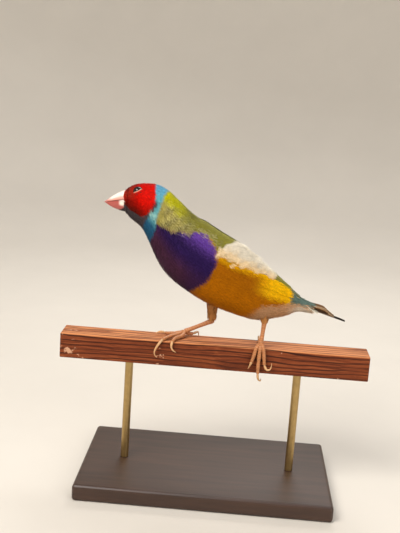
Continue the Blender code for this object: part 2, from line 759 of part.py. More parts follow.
def make_leg(side_name, parts):
    """A feathered thigh that meets the body, a scaled shank, and a foot of four toes with claws."""
    leg = LEGS[side_name]
    hip, heel, foot = (Vector(leg[k]) for k in ("hip", "heel", "foot"))
    shares = (-0.35, 0.0, 0.35, 0.7, 0.97)
    radii = [between(*leg["radii"], fall) for fall in (0.0, 0.0, 0.3, 0.75, 1.0)]
    thigh = taper_tube(f"thigh_{side_name}", [hip.lerp(heel, share) for share in shares], radii, parts, 12)
    down = (foot - heel).normalized()
    top, bottom = heel + down * (GAP + 0.05), foot - down * SHANK_STOP
    shank_points = [top, heel.lerp(foot, 0.12), heel.lerp(foot, 0.5), bottom]
    shank_radii = (1.25, 1.15, 0.95, SHANK_END_RADIUS)
    shank = taper_tube(f"shank_{side_name}", shank_points, shank_radii, parts, 10)
    finish(shank, "leg_scale")
    body = form_loft("body_room", NECK_END, TAIL_CORE_END, 0.5, 32, parts, grow=GAP)
    room_points = [heel - down * 0.1] + shank_points[1:]
    room = taper_tube("shank_room", room_points, [r + GAP + 0.05 for r in shank_radii], parts, 10)
    boolean(thigh, "DIFFERENCE", [body, room])
    finish(thigh, "pale_feather")
    pad = ball(f"foot_{side_name}", foot + Vector((0.0, 0.0, -0.15)), 1.45, parts, 12, 8, (1.0, 1.0, 0.85))
    pieces = []
    for toe, (joints, claw) in TOES[side_name].items():
        line = smooth_path([tuple(foot)] + joints, 2)
        size = np.linspace(TOE_RADIUS, TOE_TIP_RADIUS, len(line))
        knuckles = 1.0 + 0.13 * np.cos(np.arange(len(line)) * math.pi)
        pieces.append(taper_tube(f"toe_{toe}", line, size * knuckles, parts, 6))
        hook = smooth_path([joints[-1]] + claw, 2)
        size = np.linspace(CLAW_RADIUS, CLAW_TIP_RADIUS, len(hook))
        pieces.append(taper_tube(f"claw_{toe}", hook, size, parts, 6))
    boolean(pad, "UNION", pieces)
    end = foot - down * (SHANK_STOP - GAP)
    cutter = taper_tube("shank_room", [end - down * 6.0, end], [SHANK_END_RADIUS + GAP + 0.1] * 2, parts, 12)
    boolean(pad, "DIFFERENCE", [cutter])
    finish(pad, "leg_scale")


def main():
    clear_scene()
    parts = make_collection("gouldian_finch")
    make_stand(parts)
    make_perch(parts)
    make_head(parts)
    make_bill(parts)
    make_neck_and_torso(parts)
    make_wing("wing_left", 1, parts)
    make_wing("wing_right", -1, parts)
    make_tail(parts)
    for side_name in LEGS:
        make_leg(side_name, parts)


if __name__ == "__main__":
    main()
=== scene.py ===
"""The looks of a life-size red-headed Gouldian finch on a square perch, laid out as a Blender add-on.

Lengths in the tables are millimetres from the middle of the perch's top, and become metres in the model's
frame. The bird faces -X and its left side is towards -Y.
"""

import math

import bmesh
import bpy
import numpy as np
from mathutils import Matrix, Vector
from mathutils.kdtree import KDTree


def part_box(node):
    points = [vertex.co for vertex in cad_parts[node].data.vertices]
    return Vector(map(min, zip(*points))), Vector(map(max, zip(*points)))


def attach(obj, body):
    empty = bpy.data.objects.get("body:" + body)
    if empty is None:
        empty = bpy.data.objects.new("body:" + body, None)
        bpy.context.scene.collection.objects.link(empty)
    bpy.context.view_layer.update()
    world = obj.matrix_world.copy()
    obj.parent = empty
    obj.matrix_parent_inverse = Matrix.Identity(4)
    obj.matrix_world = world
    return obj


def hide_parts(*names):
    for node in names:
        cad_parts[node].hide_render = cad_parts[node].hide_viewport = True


bl_info = {
    "name": "Gouldian Finch",
    "version": (1, 0, 0),
    "blender": (4, 5, 0),
    "location": "3D View > Sidebar > Finch",
    "description": "Dresses a still finch on its perch in feathers, horn, scales and wood",
    "category": "Object",
}

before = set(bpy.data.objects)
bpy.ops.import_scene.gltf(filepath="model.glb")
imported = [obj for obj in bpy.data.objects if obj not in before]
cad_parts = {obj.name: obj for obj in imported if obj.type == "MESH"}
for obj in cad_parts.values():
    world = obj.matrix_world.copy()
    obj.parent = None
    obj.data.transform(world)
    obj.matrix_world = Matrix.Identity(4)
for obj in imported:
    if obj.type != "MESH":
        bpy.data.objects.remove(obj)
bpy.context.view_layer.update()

MM = 0.001
PERCH_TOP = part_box("perch")[1].z / MM
SIDES = {"left": 1, "right": -1}

# The bird's form at each station: back and belly points of the side view (x, z), half width, and how much
# wider the section is towards the back.
STATIONS = {
    "bill_base": (-47.6, 72.3, -47.9, 61.4, 4.6, 0.10),
    "lores": (-45.6, 74.1, -45.5, 58.5, 6.2, 0.16),
    "eyes": (-42.4, 75.3, -41.9, 55.9, 7.5, 0.20),
    "crown": (-38.1, 75.8, -38.8, 53.0, 8.0, 0.18),
    "nape": (-30.2, 74.6, -35.2, 46.6, 8.5, 0.05),
    "neck": (-21.4, 68.0, -30.9, 38.6, 11.0, 0.0),
    "shoulder": (-15.3, 62.9, -26.7, 33.1, 13.6, -0.04),
    "breast": (-8.8, 58.9, -20.7, 28.1, 15.2, -0.06),
    "mantle": (-1.2, 54.5, -13.2, 23.5, 15.9, -0.06),
    "side": (6.6, 50.5, -5.3, 19.5, 15.9, -0.06),
    "flank": (13.4, 46.0, 3.3, 16.5, 15.2, -0.06),
    "belly": (19.7, 41.3, 11.9, 14.1, 13.6, -0.06),
    "rump": (26.3, 36.5, 20.4, 12.8, 11.2, -0.04),
    "vent": (32.0, 32.0, 28.1, 14.3, 8.4, 0.0),
    "coverts": (36.8, 28.3, 34.3, 16.1, 6.2, 0.0),
    "tail_root": (41.3, 25.0, 39.5, 18.5, 4.6, 0.0),
    "tail_middle": (50.6, 21.4, 50.0, 17.4, 3.6, 0.0),
    "tail_end": (62.8, 16.6, 62.4, 14.8, 2.4, 0.0),
}
SECTION_POWER = 0.86
LAST_STATION = len(STATIONS) - 1
SKIN_END = 15.5

WING_START = 6.35
WING_END = 13.7
WING_UPPER = (16.0, 10.0)
WING_LOWER = (46.0, 56.0, 58.0, 56.0, 53.0, 48.0)

# Borders of the plumage: pairs of degrees from the back's middle and stations, or the other way round
MASK_REAR = ((0, 3.55), (30, 3.65), (60, 3.8), (70, 3.76), (80, 3.68), (90, 3.55), (100, 3.35), (110, 3.0))
MASK_LOW = ((0.0, 106), (0.5, 109), (1.5, 114), (2.5, 115), (3.0, 110), (3.4, 98), (3.7, 82))
THROAT_REAR = ((95, 3.55), (105, 3.45), (120, 3.25), (135, 3.1), (150, 2.95), (180, 2.85))
COLLAR_REAR = ((0, 4.3), (30, 4.2), (60, 4.15), (90, 4.08), (105, 4.2), (120, 4.15), (150, 4.0), (180, 4.0))
BREAST_REAR = (
    (39, 7.3), (45, 7.7), (50, 8.0), (60, 8.25), (75, 8.45), (90, 8.4), (105, 8.35), (120, 8.15), (135, 7.95),
    (150, 7.8), (180, 7.7),
)
VENT_FRONT = (
    (80, 14.0), (85, 13.6), (95, 12.9), (100, 12.1), (105, 11.8), (120, 11.5), (150, 11.2), (180, 11.1),
)
SIDE_TOP_LEFT = (
    (4.2, 96), (4.5, 90), (5.0, 80), (5.5, 71), (6.0, 61), (6.5, 52), (7.0, 43), (7.3, 39), (7.7, 42),
    (8.0, 49), (8.3, 56), (9.2, 56), (10.0, 49), (11.0, 42), (12.0, 34), (13.0, 28), (13.6, 33), (14.2, 60),
)
SIDE_TOP_RIGHT = (
    (4.2, 96), (4.5, 90), (5.0, 80), (5.5, 71), (6.0, 64), (6.5, 60), (7.3, 58), (8.3, 60), (10.0, 60),
    (12.0, 56), (13.6, 52), (14.2, 60),
)

EYE_STATION = 2.12
EYE_HEIGHT = 73.0
EYE_RADIUS = 2.35
EYE_SUNK = 1.35
EYE_TILT = 28.0
LID_OPENING = (2.2, 1.14)
EYE_CLEARANCE = 1.45

# Feathers: how much deeper than the skin their roots are, how far a lifted feather's root comes out, how many
# roots are tried over the whole form, and the side of a feather's patch in the UV map
ROOT_COVER = 0.15
LIFTED_ROOT = 1.2
ROOT_TRIES = 240000
PATCH = 0.003

BILL_TIP = (-58.5, 65.1)
BILL_FACE_TOP = (-47.9, 72.0)
BILL_FACE_BOTTOM = (-48.2, 61.7)
GAPE = (-48.0, 67.5)
FACE_STATION = 2.1  # millimetres from one station to the next at the face


def paint(red, green, blue):
    """A colour picked on a screen, from 0 to 255, as the linear values that a material takes."""
    values = np.array([red, green, blue]) / 255.0
    return tuple(np.where(values <= 0.04045, values / 12.92, ((values + 0.055) / 1.055) ** 2.4).tolist())


def colour_property(name, description, *screen_colour):
    return bpy.props.FloatVectorProperty(
        name=name, description=description, subtype="COLOR", min=0.0, max=1.0, default=paint(*screen_colour)
    )


def length_property(name, description, millimetres):
    return bpy.props.FloatProperty(
        name=name, description=description, default=millimetres * MM, unit="LENGTH"
    )


def angle_property(name, description, degrees):
    return bpy.props.FloatProperty(
        name=name, description=description, default=math.radians(degrees), subtype="ANGLE"
    )


class FinchColours(bpy.types.PropertyGroup):
    """Colours of the plumage and of the bare parts."""

    scarlet: colour_property("Scarlet", "Bright red of the mask", 208, 15, 2)
    # Crimson also gives the painted shade at the mask's front by the bill, underneath and along its lower
    # edge.
    crimson: colour_property("Crimson", "Deep red of the mask's front and lower edge", 134, 14, 3)
    black: colour_property("Black", "Chin, throat and the mask's thin edge", 74, 65, 68)
    sky: colour_property("Sky blue", "Collar on the nape", 100, 166, 194)
    lagoon: colour_property("Lagoon", "Collar at the side of the head", 94, 162, 168)
    teal: colour_property("Teal", "Collar at the side of the throat", 36, 86, 118)
    lime: colour_property("Lime", "Nape behind the collar", 188, 182, 0)
    olive: colour_property("Olive", "Mantle and wing coverts", 132, 126, 44)
    khaki: colour_property("Khaki", "Tousled feathers at the side of the neck", 156, 144, 74)
    violet: colour_property("Violet", "Upper breast", 100, 62, 152)
    indigo: colour_property("Indigo", "Side of the breast", 41, 22, 72)
    wine: colour_property("Wine", "Front of the breast", 72, 38, 60)
    orange: colour_property("Orange", "Middle of the belly", 160, 92, 0)
    yellow: colour_property("Yellow", "Upper flank and rear of the belly", 236, 180, 4)
    white: colour_property("White", "Down of the flank and vent", 222, 212, 192)
    tan: colour_property("Tan", "Vent and thighs", 184, 126, 72)
    turquoise: colour_property("Turquoise", "Coverts over the tail", 98, 118, 108)
    umber: colour_property("Umber", "Flight and tail feathers", 62, 46, 32)
    ivory: colour_property("Ivory", "Bill's ridge and the patch at its base", 246, 228, 216)
    salmon: colour_property("Salmon", "Upper bill beside the mouth", 222, 154, 138)
    coral: colour_property("Coral", "Lower bill and the tip", 172, 80, 72)
    leg: colour_property("Leg", "Scales of legs and toes", 176, 112, 66)
    claw: colour_property("Claw", "Claws", 202, 156, 108)


class FinchSizes(bpy.types.PropertyGroup):
    """Sizes that shape the coat."""

    coat_depth: length_property("Coat depth", "How far the skin lies under the feathers", 0.9)
    crowding: bpy.props.FloatProperty(
        name="Crowding", description="How close body feathers grow, 1 for a full coat", default=1.0, min=0.2
    )
    plume_length: length_property("Plume length", "Length of the loose white flank plumes", 7.5)


class StageSettings(bpy.types.PropertyGroup):
    """The plain studio round the model."""

    floor: colour_property("Floor", "Pale floor and backdrop", 212, 205, 194)
    key_power: bpy.props.FloatProperty(
        name="Key light", description="Power of the main lamp", default=6.0, unit="POWER"
    )
    fill_power: bpy.props.FloatProperty(
        name="Fill light", description="Power of the second lamp", default=2.2, unit="POWER"
    )
    azimuth: angle_property("Azimuth", "Camera's turn round the model", 2.26)
    elevation: angle_property("Elevation", "Camera's height as an angle", 12.0)
    roll: angle_property("Roll", "Camera's tilt to the side", 3.94)
    distance: length_property("Distance", "From the camera to its target", 439.3)
    target: bpy.props.FloatVectorProperty(
        name="Target",
        description="Point that the camera looks at",
        default=(-9.96 * MM, 0.0, (36.98 + PERCH_TOP) * MM),
        subtype="TRANSLATION",
    )
    lens: bpy.props.FloatProperty(name="Lens", description="Focal length", default=60.8, unit="CAMERA")


def spline(values):
    """A natural cubic through the values at 0, 1, 2 and so on, as a function of arrays."""
    y = np.asarray(values, float)
    count = len(y)
    system = np.eye(count)
    right = np.zeros(count)
    for i in range(1, count - 1):
        system[i, i - 1 : i + 2] = (1.0, 4.0, 1.0)
        right[i] = 6.0 * (y[i + 1] - 2.0 * y[i] + y[i - 1])
    bend = np.linalg.solve(system, right)

    def at(place):
        place = np.clip(place, 0.0, count - 1.0)
        i = np.minimum(np.floor(place).astype(int), count - 2)
        b = place - i
        a = 1.0 - b
        return a * y[i] + b * y[i + 1] + ((a**3 - a) * bend[i] + (b**3 - b) * bend[i + 1]) / 6.0

    return at


FORM = [spline([row[column] for row in STATIONS.values()]) for column in range(6)]
LOWER_EDGE = spline(WING_LOWER)


def bare_form(place, angle):
    """Points of the bird's form: place runs along the stations, angle from the back round the left side."""
    back_x, back_z, belly_x, belly_z, width, bias = (f(place) for f in FORM)
    sine, cosine = np.sin(angle), np.cos(angle)
    across = -width * np.sign(sine) * np.abs(sine) ** SECTION_POWER * (1.0 + bias * cosine)
    x = (back_x + belly_x) / 2 + (back_x - belly_x) / 2 * cosine
    z = (back_z + belly_z) / 2 + (back_z - belly_z) / 2 * cosine
    return np.stack([x, across, z], -1)


def wrapped(angle):
    """An angle brought between half a turn to the right and half a turn to the left."""
    return np.mod(angle + math.pi, 2 * math.pi) - math.pi


def unit(vectors):
    return vectors / np.maximum(np.linalg.norm(vectors, axis=-1, keepdims=True), 1e-9)


def slopes(surface, place, angle, step=0.02):
    """How a surface moves with place and with angle, in millimetres for each unit."""
    along = (surface(place + step, angle) - surface(place - step, angle)) / (2 * step)
    around = (surface(place, angle + step) - surface(place, angle - step)) / (2 * step)
    return along, around


def outward(surface, place, angle):
    along, around = slopes(surface, place, angle)
    return unit(np.cross(around, along))


def raised(surface, place, angle, height):
    return surface(place, angle) + outward(surface, place, angle) * np.asarray(height)[..., None]


def border(pairs, value):
    """Reads a table of pairs at the value."""
    keys, results = zip(*pairs)
    return np.interp(value, keys, results)


def kept(keep, *lists):
    """The values of each list where keep is true."""
    return [values[keep] for values in lists]


def past(value, edge, width):
    """0 before the edge and 1 past it, soft over the width."""
    share = np.clip((value - edge) / width + 0.5, 0.0, 1.0)
    return share * share * (3.0 - 2.0 * share)


def palette(*names):
    """The named colours of the panel, as arrays."""
    colours = bpy.context.scene.finch_colours
    return [np.array(getattr(colours, name)) for name in names]


def blend(first, second, share):
    share = np.asarray(share)[..., None]
    return np.asarray(first) * (1.0 - share) + np.asarray(second) * share


def markings(place, angle):
    """The plumage's colour at stations and angles, for skin and coat alike, with painted light along the
    back's ridge and under the belly, and painted shade in the mask.
    """
    names = list(FinchColours.__annotations__)
    tint = dict(zip(names, palette(*names)))
    turned = wrapped(angle)
    degrees = np.degrees(np.abs(turned))
    shape = np.broadcast(place, degrees).shape
    place, degrees = np.broadcast_to(place, shape), np.broadcast_to(degrees, shape)
    top = np.where(turned > 0, border(SIDE_TOP_LEFT, place), border(SIDE_TOP_RIGHT, place))
    low = past(degrees, top, 4.0)

    green = blend(tint["lime"], tint["olive"], past(place, 5.4, 1.2) + 0.25 * past(degrees, 45.0, 40.0))
    side = past(degrees, 46.0, 18.0) * (1.0 - past(place, 6.6, 0.8))
    green = blend(green, tint["khaki"] * (1.0 - 0.25 * past(degrees - top, -9.0, 8.0))[..., None], side)
    # Painted light: the khaki made lighter along the back's ridge, more so towards the rump, where the top of
    # the back catches the light.
    painted_crest_light = (1.0 - past(degrees, 10.0, 22.0)) * past(place, 6.3, 1.2)
    green = blend(green, tint["khaki"] * (1.25, 1.35, 1.2), (0.4 + 0.45 * past(place, 10.5, 1.0)) * painted_crest_light)
    green = blend(green, tint["turquoise"], past(place, 13.75, 0.4))

    near_down = (1.0 - past(degrees - top, 8.0, 13.0)) * (0.45 + 0.55 * past(place, 10.0, 2.0))
    rear = past(place, 11.4, 1.6) * (1.0 - past(degrees, 80.0, 20.0))
    belly = blend(tint["orange"], tint["yellow"], np.maximum(near_down, rear))
    # Painted light: the belly made lighter towards the underside, standing in for light bounced up from the
    # floor.
    belly = belly * (1.0 + 0.3 * past(degrees, 100.0, 45.0))[..., None]
    tail_blue = past(place, 13.72, 0.2) * (1.0 - past(degrees, 78.0, 8.0))
    belly = blend(belly, tint["turquoise"] * 0.8, tail_blue)
    colour = blend(green, belly, low)

    chest = blend(tint["violet"], tint["indigo"], past(degrees, 62.0, 34.0))
    front = past(degrees, 104.0, 36.0) * (1.0 - 0.45 * past(place, 7.2, 1.2))
    chest = blend(chest, tint["wine"], front)
    in_chest = low * (1.0 - past(place, border(BREAST_REAR, degrees), 0.16))
    colour = blend(colour, chest, in_chest)

    vent = blend(tint["tan"], tint["white"], 0.15 + 0.7 * past(place, 14.2, 1.6) * past(degrees, 96.0, 30.0))
    in_vent = past(place, border(VENT_FRONT, degrees), 0.6) * past(degrees, 78.0, 6.0)
    colour = blend(colour, vent, in_vent)

    collar = blend(tint["sky"], tint["lagoon"], past(degrees, 44.0, 40.0))
    collar = blend(collar, tint["teal"], past(degrees, 102.0, 26.0))
    colour = blend(collar, colour, past(place, border(COLLAR_REAR, degrees), 0.12))
    in_throat = (1.0 - past(place, border(THROAT_REAR, degrees), 0.12)) * past(degrees, 88.0, 10.0)
    colour = blend(colour, tint["black"], in_throat)

    edge_place = border(MASK_REAR, degrees)
    edge_degrees = border(MASK_LOW, place)
    dark_rim = (1.0 - past(place, edge_place + 0.16, 0.12)) * (1.0 - past(degrees, edge_degrees + 4.0, 3.0))
    colour = blend(colour, tint["black"], dark_rim * past(degrees, 60.0, 12.0))
    in_mask = (1.0 - past(place, edge_place, 0.06)) * (1.0 - past(degrees, edge_degrees, 3.0))
    # Crimson towards the bill and underneath: partly the mask's deep red there, partly painted shade in the
    # crease by the bill and under the head.
    mask_shade_and_deep_red = 0.6 * past(degrees, 84.0, 34.0) + 0.75 * (1.0 - past(place, 1.9, 2.2))
    mask = blend(tint["scarlet"], tint["crimson"], np.clip(mask_shade_and_deep_red, 0.0, 1.0))
    # Painted shade: a brownish red at the front of the mask, in the crease by the bill.
    brown_shade_near_bill = (1.0 - past(place, 1.6, 1.4)) * (1.0 - past(np.abs(degrees - 40.0), 30.0, 30.0))
    mask = blend(mask, tint["coral"] * (1.1, 0.6, 0.3), 0.45 * brown_shade_near_bill)
    shadow = past(degrees, edge_degrees - 15.0, 15.0) * (1.0 - 0.6 * past(place, 2.9, 0.8))
    mask = blend(mask, tint["crimson"] * (0.5, 1.2, 1.5), 0.8 * shadow)
    return blend(colour, mask, in_mask)


def to_model(points):
    """Millimetres over the perch's top as metres in the model's frame."""
    return (np.asarray(points, float) + (0.0, 0.0, PERCH_TOP)) * MM


def linked(name, mesh, material, nodes=()):
    """Puts a mesh in the scene as a piece that rides on the one body."""
    obj = bpy.data.objects.new(name, mesh)
    bpy.context.scene.collection.objects.link(obj)
    obj.data.materials.clear()
    obj.data.materials.append(material)
    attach(obj, "root")
    if nodes:
        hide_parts(*nodes)


def to_mesh(name, bm):
    """Turns the finished bmesh into a smooth mesh and frees it."""
    mesh = bpy.data.meshes.new(name)
    for face in bm.faces:
        face.smooth = True
    bm.to_mesh(mesh)
    bm.free()
    return mesh


def place_ring(verts, points):
    for vert, point in zip(verts, points):
        vert.co = point


def sweep(bm, rings, caps=True):
    """Extrudes a ring of vertices through all the rings, which have one count of points."""
    count = len(rings[0])
    loop = bmesh.ops.create_circle(bm, segments=count, radius=1.0)["verts"]
    edges = list(dict.fromkeys(edge for vert in loop for edge in vert.link_edges))
    order = [loop[0]]
    while len(order) < count:
        others = [edge.other_vert(order[-1]) for edge in order[-1].link_edges]
        order.append(next(vert for vert in others if vert not in order[-2:]))
    place_ring(order, rings[0])
    rows = [order]
    ends = []
    if caps:
        ends += bmesh.ops.contextual_create(bm, geom=edges)["faces"]
    for ring in rings[1:]:
        made = bmesh.ops.extrude_edge_only(bm, edges=edges)["geom"]
        edges = [item for item in made if isinstance(item, bmesh.types.BMEdge)]
        fresh = {item for item in made if isinstance(item, bmesh.types.BMVert)}
        order = [next(e.other_vert(v) for e in v.link_edges if e.other_vert(v) in fresh) for v in order]
        place_ring(order, ring)
        rows.append(order)
    if caps:
        ends += bmesh.ops.contextual_create(bm, geom=edges)["faces"]
    if ends:
        bmesh.ops.triangulate(bm, faces=ends)
    bmesh.ops.recalc_face_normals(bm, faces=bm.faces)
    return rows


def tube(bm, points, radii, sides):
    """A closed tube along a line of points, with its own radius at each."""
    points = np.asarray(points, float)
    radii = np.asarray(radii, float)
    steps = unit(np.gradient(points, axis=0))
    side = unit(np.cross(steps[0], (0.3, 0.9, 0.31)))
    turn = np.linspace(0, 2 * math.pi, sides, endpoint=False)
    rings = []
    for point, step, radius in zip(points, steps, radii):
        side = unit(side - step * np.dot(side, step))
        up = np.cross(step, side)
        circle = np.cos(turn)[:, None] * side + np.sin(turn)[:, None] * up
        rings.append(to_model(point + radius * circle))
    return sweep(bm, rings)


def smooth_path(points, per_span):
    """A smooth line through the points, with so many steps between one and the next."""
    axes = [spline([p[i] for p in points]) for i in range(len(points[0]))]
    places = np.linspace(0, len(points) - 1, (len(points) - 1) * per_span + 1)
    return np.stack([axis(places) for axis in axes], axis=1)


def set_colours(mesh, colours):
    """Writes a colour for each point of the mesh."""
    layer = mesh.color_attributes.new("plumage", "FLOAT_COLOR", "POINT")
    values = np.ones((len(mesh.vertices), 4), np.float32)
    values[:, :3] = np.clip(colours, 0.0, 1.0)
    layer.data.foreach_set("color", values.ravel())


def search_tree(points):
    """A tree that finds the nearest of the points."""
    tree = KDTree(len(points))
    for i, point in enumerate(points):
        tree.insert(point, i)
    tree.balance()
    return tree


def spots(start, end, spacing, seed, low=0.0, high=180.0):
    """Stations and angles of feather roots, spread evenly over a stretch of the form."""
    rng = np.random.default_rng(seed)
    crowded = max(spacing, 0.4) ** 2
    many = int(ROOT_TRIES * (end - start) / LAST_STATION / crowded * 0.62 * (high - low) / 180)
    place = rng.uniform(start, end, many)
    angle = rng.choice((-1.0, 1.0), many) * np.radians(rng.uniform(low, high, many))
    along, around = slopes(bare_form, place, angle)
    weight = np.linalg.norm(np.cross(along, around), axis=1)
    place, angle = kept(rng.random(many) < weight / weight.max(), place, angle)
    points = bare_form(place, angle)
    tree = search_tree(points)
    free = np.ones(len(points), bool)
    for i, point in enumerate(points):
        if free[i]:
            for _, j, _ in tree.find_range(point, spacing * 0.8):
                free[j] = free[j] and j <= i
    return place[free], angle[free]


def barb_lines(place, angle, look, rng):
    """Four points along the middle of each barb, the directions out there, and which side a barb grows on."""
    surface = look.get("surface", bare_form)
    count, barbs = len(place), look["barbs"]
    steps = np.array((0.0, 0.38, 0.72, 1.0))
    along, around = (np.linalg.norm(values, axis=1) for values in slopes(surface, place, angle))

    def per_feather(key):
        return np.broadcast_to(look[key], (count,))[:, None, None]

    across = np.linspace(-1.0, 1.0, barbs)[None, :, None] + rng.normal(0, 0.09, (count, barbs, 1))
    length = per_feather("length") * rng.uniform(0.78, 1.12, (count, 1, 1))
    length = length * rng.uniform(0.8, 1.1, (count, barbs, 1))
    turn = np.radians(per_feather("turn") + rng.normal(0, 5.0, (count, 1, 1)))
    if look.get("vaned"):
        root = 0.72 * (1.0 - np.abs(np.linspace(-1.0, 1.0, barbs)))[None, :, None]
        across = np.sign(across) * np.sin(math.pi * (0.3 + 0.62 * root))
        reach = length * (root + (1.0 - root) * (0.3 + 0.3 * root) * 1.5 * steps)
        spread = np.sin(steps * math.pi / 2) ** 0.9
    else:
        reach = length * (1.0 - 0.3 * across**2) * steps
        spread = 0.22 + 0.78 * np.sin(np.minimum(steps * 1.15, 1.0) * math.pi / 2)
    lateral = per_feather("width") / 2 * across * spread + rng.normal(0, 0.03, (count, barbs, 1)) * reach
    swerve = np.sin(turn * steps)
    forward = reach * np.cos(turn * steps) - lateral * swerve
    sideways = reach * swerve + lateral * np.cos(turn * steps)
    places = place[:, None, None] + forward / along[:, None, None]
    angles = angle[:, None, None] + sideways / around[:, None, None]
    tip = per_feather("lift") + per_feather("ruffle") * rng.normal(0, 1.0, (count, 1, 1))
    tip = tip + 0.35 * per_feather("ruffle") * rng.normal(0, 1.0, (count, barbs, 1))
    depth = per_feather("root")
    height = -depth + (tip + depth) * np.clip(reach / per_feather("length"), 0.0, 1.2) ** 0.7
    height = np.maximum(height, -depth)
    return raised(surface, places, angles, height), outward(surface, places, angles), across


def barb_ribbons(centre, normal, across, ribbon):
    """Seven points for each barb: three pairs across its width, tilted like roof tiles, and its tip."""
    direction = unit(np.gradient(centre, axis=2))
    side = unit(np.cross(normal, direction)) * (ribbon / 2)
    tilt = normal * (ribbon * 0.25) * np.sign(across)[..., None]
    widths = np.array((0.8, 1.0, 0.72))[:, None]
    left = centre[:, :, :3] - (side + tilt)[:, :, :3] * widths
    right = centre[:, :, :3] + (side - tilt)[:, :, :3] * widths
    pairs = np.stack([left, right], 3).reshape(*centre.shape[:2], 6, 3)
    return np.concatenate([pairs, centre[:, :, 3:]], 2).reshape(-1, 3)


def barb_mesh(name, points):
    """Two quads and a tip triangle over each barb's seven points; also gives the point of each corner."""
    strands = len(points) // 7
    first = (np.arange(strands) * 7)[:, None]
    quads = np.concatenate([first + (0, 1, 3, 2), first + (2, 3, 5, 4)], 1).reshape(strands, 8)
    corners = np.concatenate([quads, first + (4, 5, 6)], 1).ravel()
    mesh = bpy.data.meshes.new(name)
    mesh.vertices.add(len(points))
    mesh.vertices.foreach_set("co", to_model(points).ravel())
    mesh.loops.add(len(corners))
    mesh.loops.foreach_set("vertex_index", corners)
    mesh.polygons.add(strands * 3)
    starts = (np.arange(strands) * 11)[:, None] + (0, 4, 8)
    mesh.polygons.foreach_set("loop_start", starts.ravel())
    mesh.polygons.foreach_set("use_smooth", np.ones(strands * 3, bool))
    mesh.update(calc_edges=True)
    return mesh, corners


def barb_colours(place, angle, look, rng):
    """A colour for each barb's seven points: darker at its root, lighter or pale at its tip; the dark root is
    painted shade deep in the coat and partly the grey down, the lighter tip painted light.
    """
    count, barbs = len(place), look["barbs"]
    along = np.linalg.norm(slopes(look.get("surface", bare_form), place, angle)[0], axis=1)
    middle = place + 0.5 * np.broadcast_to(look["length"], (count,)) / along * look.get("carry", 1.0)
    base = look["paint"](middle, angle)[:, None, None, :]
    shade = rng.normal(1.0, look.get("mottle", 0.10), (count, 1, 1, 1))
    shade = shade * rng.normal(1.0, 0.07, (count, barbs, 1, 1))
    # From root to tip: painted shade deep in the coat at the root, partly the grey down there, and painted
    # light towards the tip; depth_shade sets how much.
    rows = np.array((0.68, 0.68, 0.92, 0.92, 1.06, 1.06, 1.12))[None, None, :, None]
    colours = base * shade * (1.0 + (rows - 1.0) * look.get("depth_shade", 1.0))
    pale = np.array(look.get("pale", (0.0, 0.0, 0.0)))
    edge = np.broadcast_to(look.get("edge", 0.0), (count,))[:, None, None, None]
    tip_share = np.array((0.0, 0.0, 0.1, 0.1, 0.6, 0.6, 1.0))[None, None, :, None] * edge
    colours = colours * (1.0 - tip_share) + pale * tip_share
    return colours.reshape(-1, 3)


def barb_patches(place, angle, barbs):
    """Where each barb's seven points lie in the UV map: a small patch for a feather, by place and angle."""
    u = 0.5 + 0.46 * wrapped(angle) / math.pi
    v = 0.02 + 0.94 * np.clip(place / LAST_STATION, 0, 1)
    aside = PATCH * np.array((-0.5, 0.5, -0.5, 0.5, -0.5, 0.5, 0.0))[None, None, :] / barbs
    rise = PATCH * np.array((0.0, 0.0, 0.38, 0.38, 0.72, 0.72, 1.0))[None, None, :]
    patch_u = u[:, None, None] + PATCH * 0.42 * np.linspace(-1, 1, barbs)[None, :, None] + aside
    patch_v = np.broadcast_to(v[:, None, None] + rise - PATCH / 2, patch_u.shape)
    return np.stack([patch_u, patch_v], -1).reshape(-1, 2)


def feather_coat(name, place, angle, look, seed):
    """One mesh of small feathers, each a spray of fine barbs that lies along the body.

    look holds, for all feathers or for each: length, width, barbs, root and lift (the root's depth and the
    tip's height), turn (degrees off the coat's lie), ruffle (how unevenly the tips stand), ribbon (a barb's
    width) and paint (what gives the colours). Some also have vaned (barbs grow from a shaft), surface, carry,
    mottle, depth_shade, and pale and edge for light tips.
    """
    rng = np.random.default_rng(seed)
    centre, normal, across = barb_lines(place, angle, look, rng)
    points = barb_ribbons(centre, normal, across, look["ribbon"])
    mesh, corners = barb_mesh(name, points)
    set_colours(mesh, barb_colours(place, angle, look, rng))
    layer = mesh.uv_layers.new(name="OFBake")
    layer.uv.foreach_set("vector", barb_patches(place, angle, look["barbs"])[corners].ravel())
    return mesh


def put_node(tree, kind, links=None, **values):
    """Adds a node, sets its values and feeds its sockets from other sockets or with plain values."""
    made = tree.nodes.new(kind)
    for key, value in values.items():
        setattr(made, key, value)
    for key, source in (links or {}).items():
        feed(tree, source, made.inputs[key])
    return made


def feed(tree, source, socket):
    if isinstance(source, bpy.types.NodeSocket):
        tree.links.new(source, socket)
    else:
        socket.default_value = source


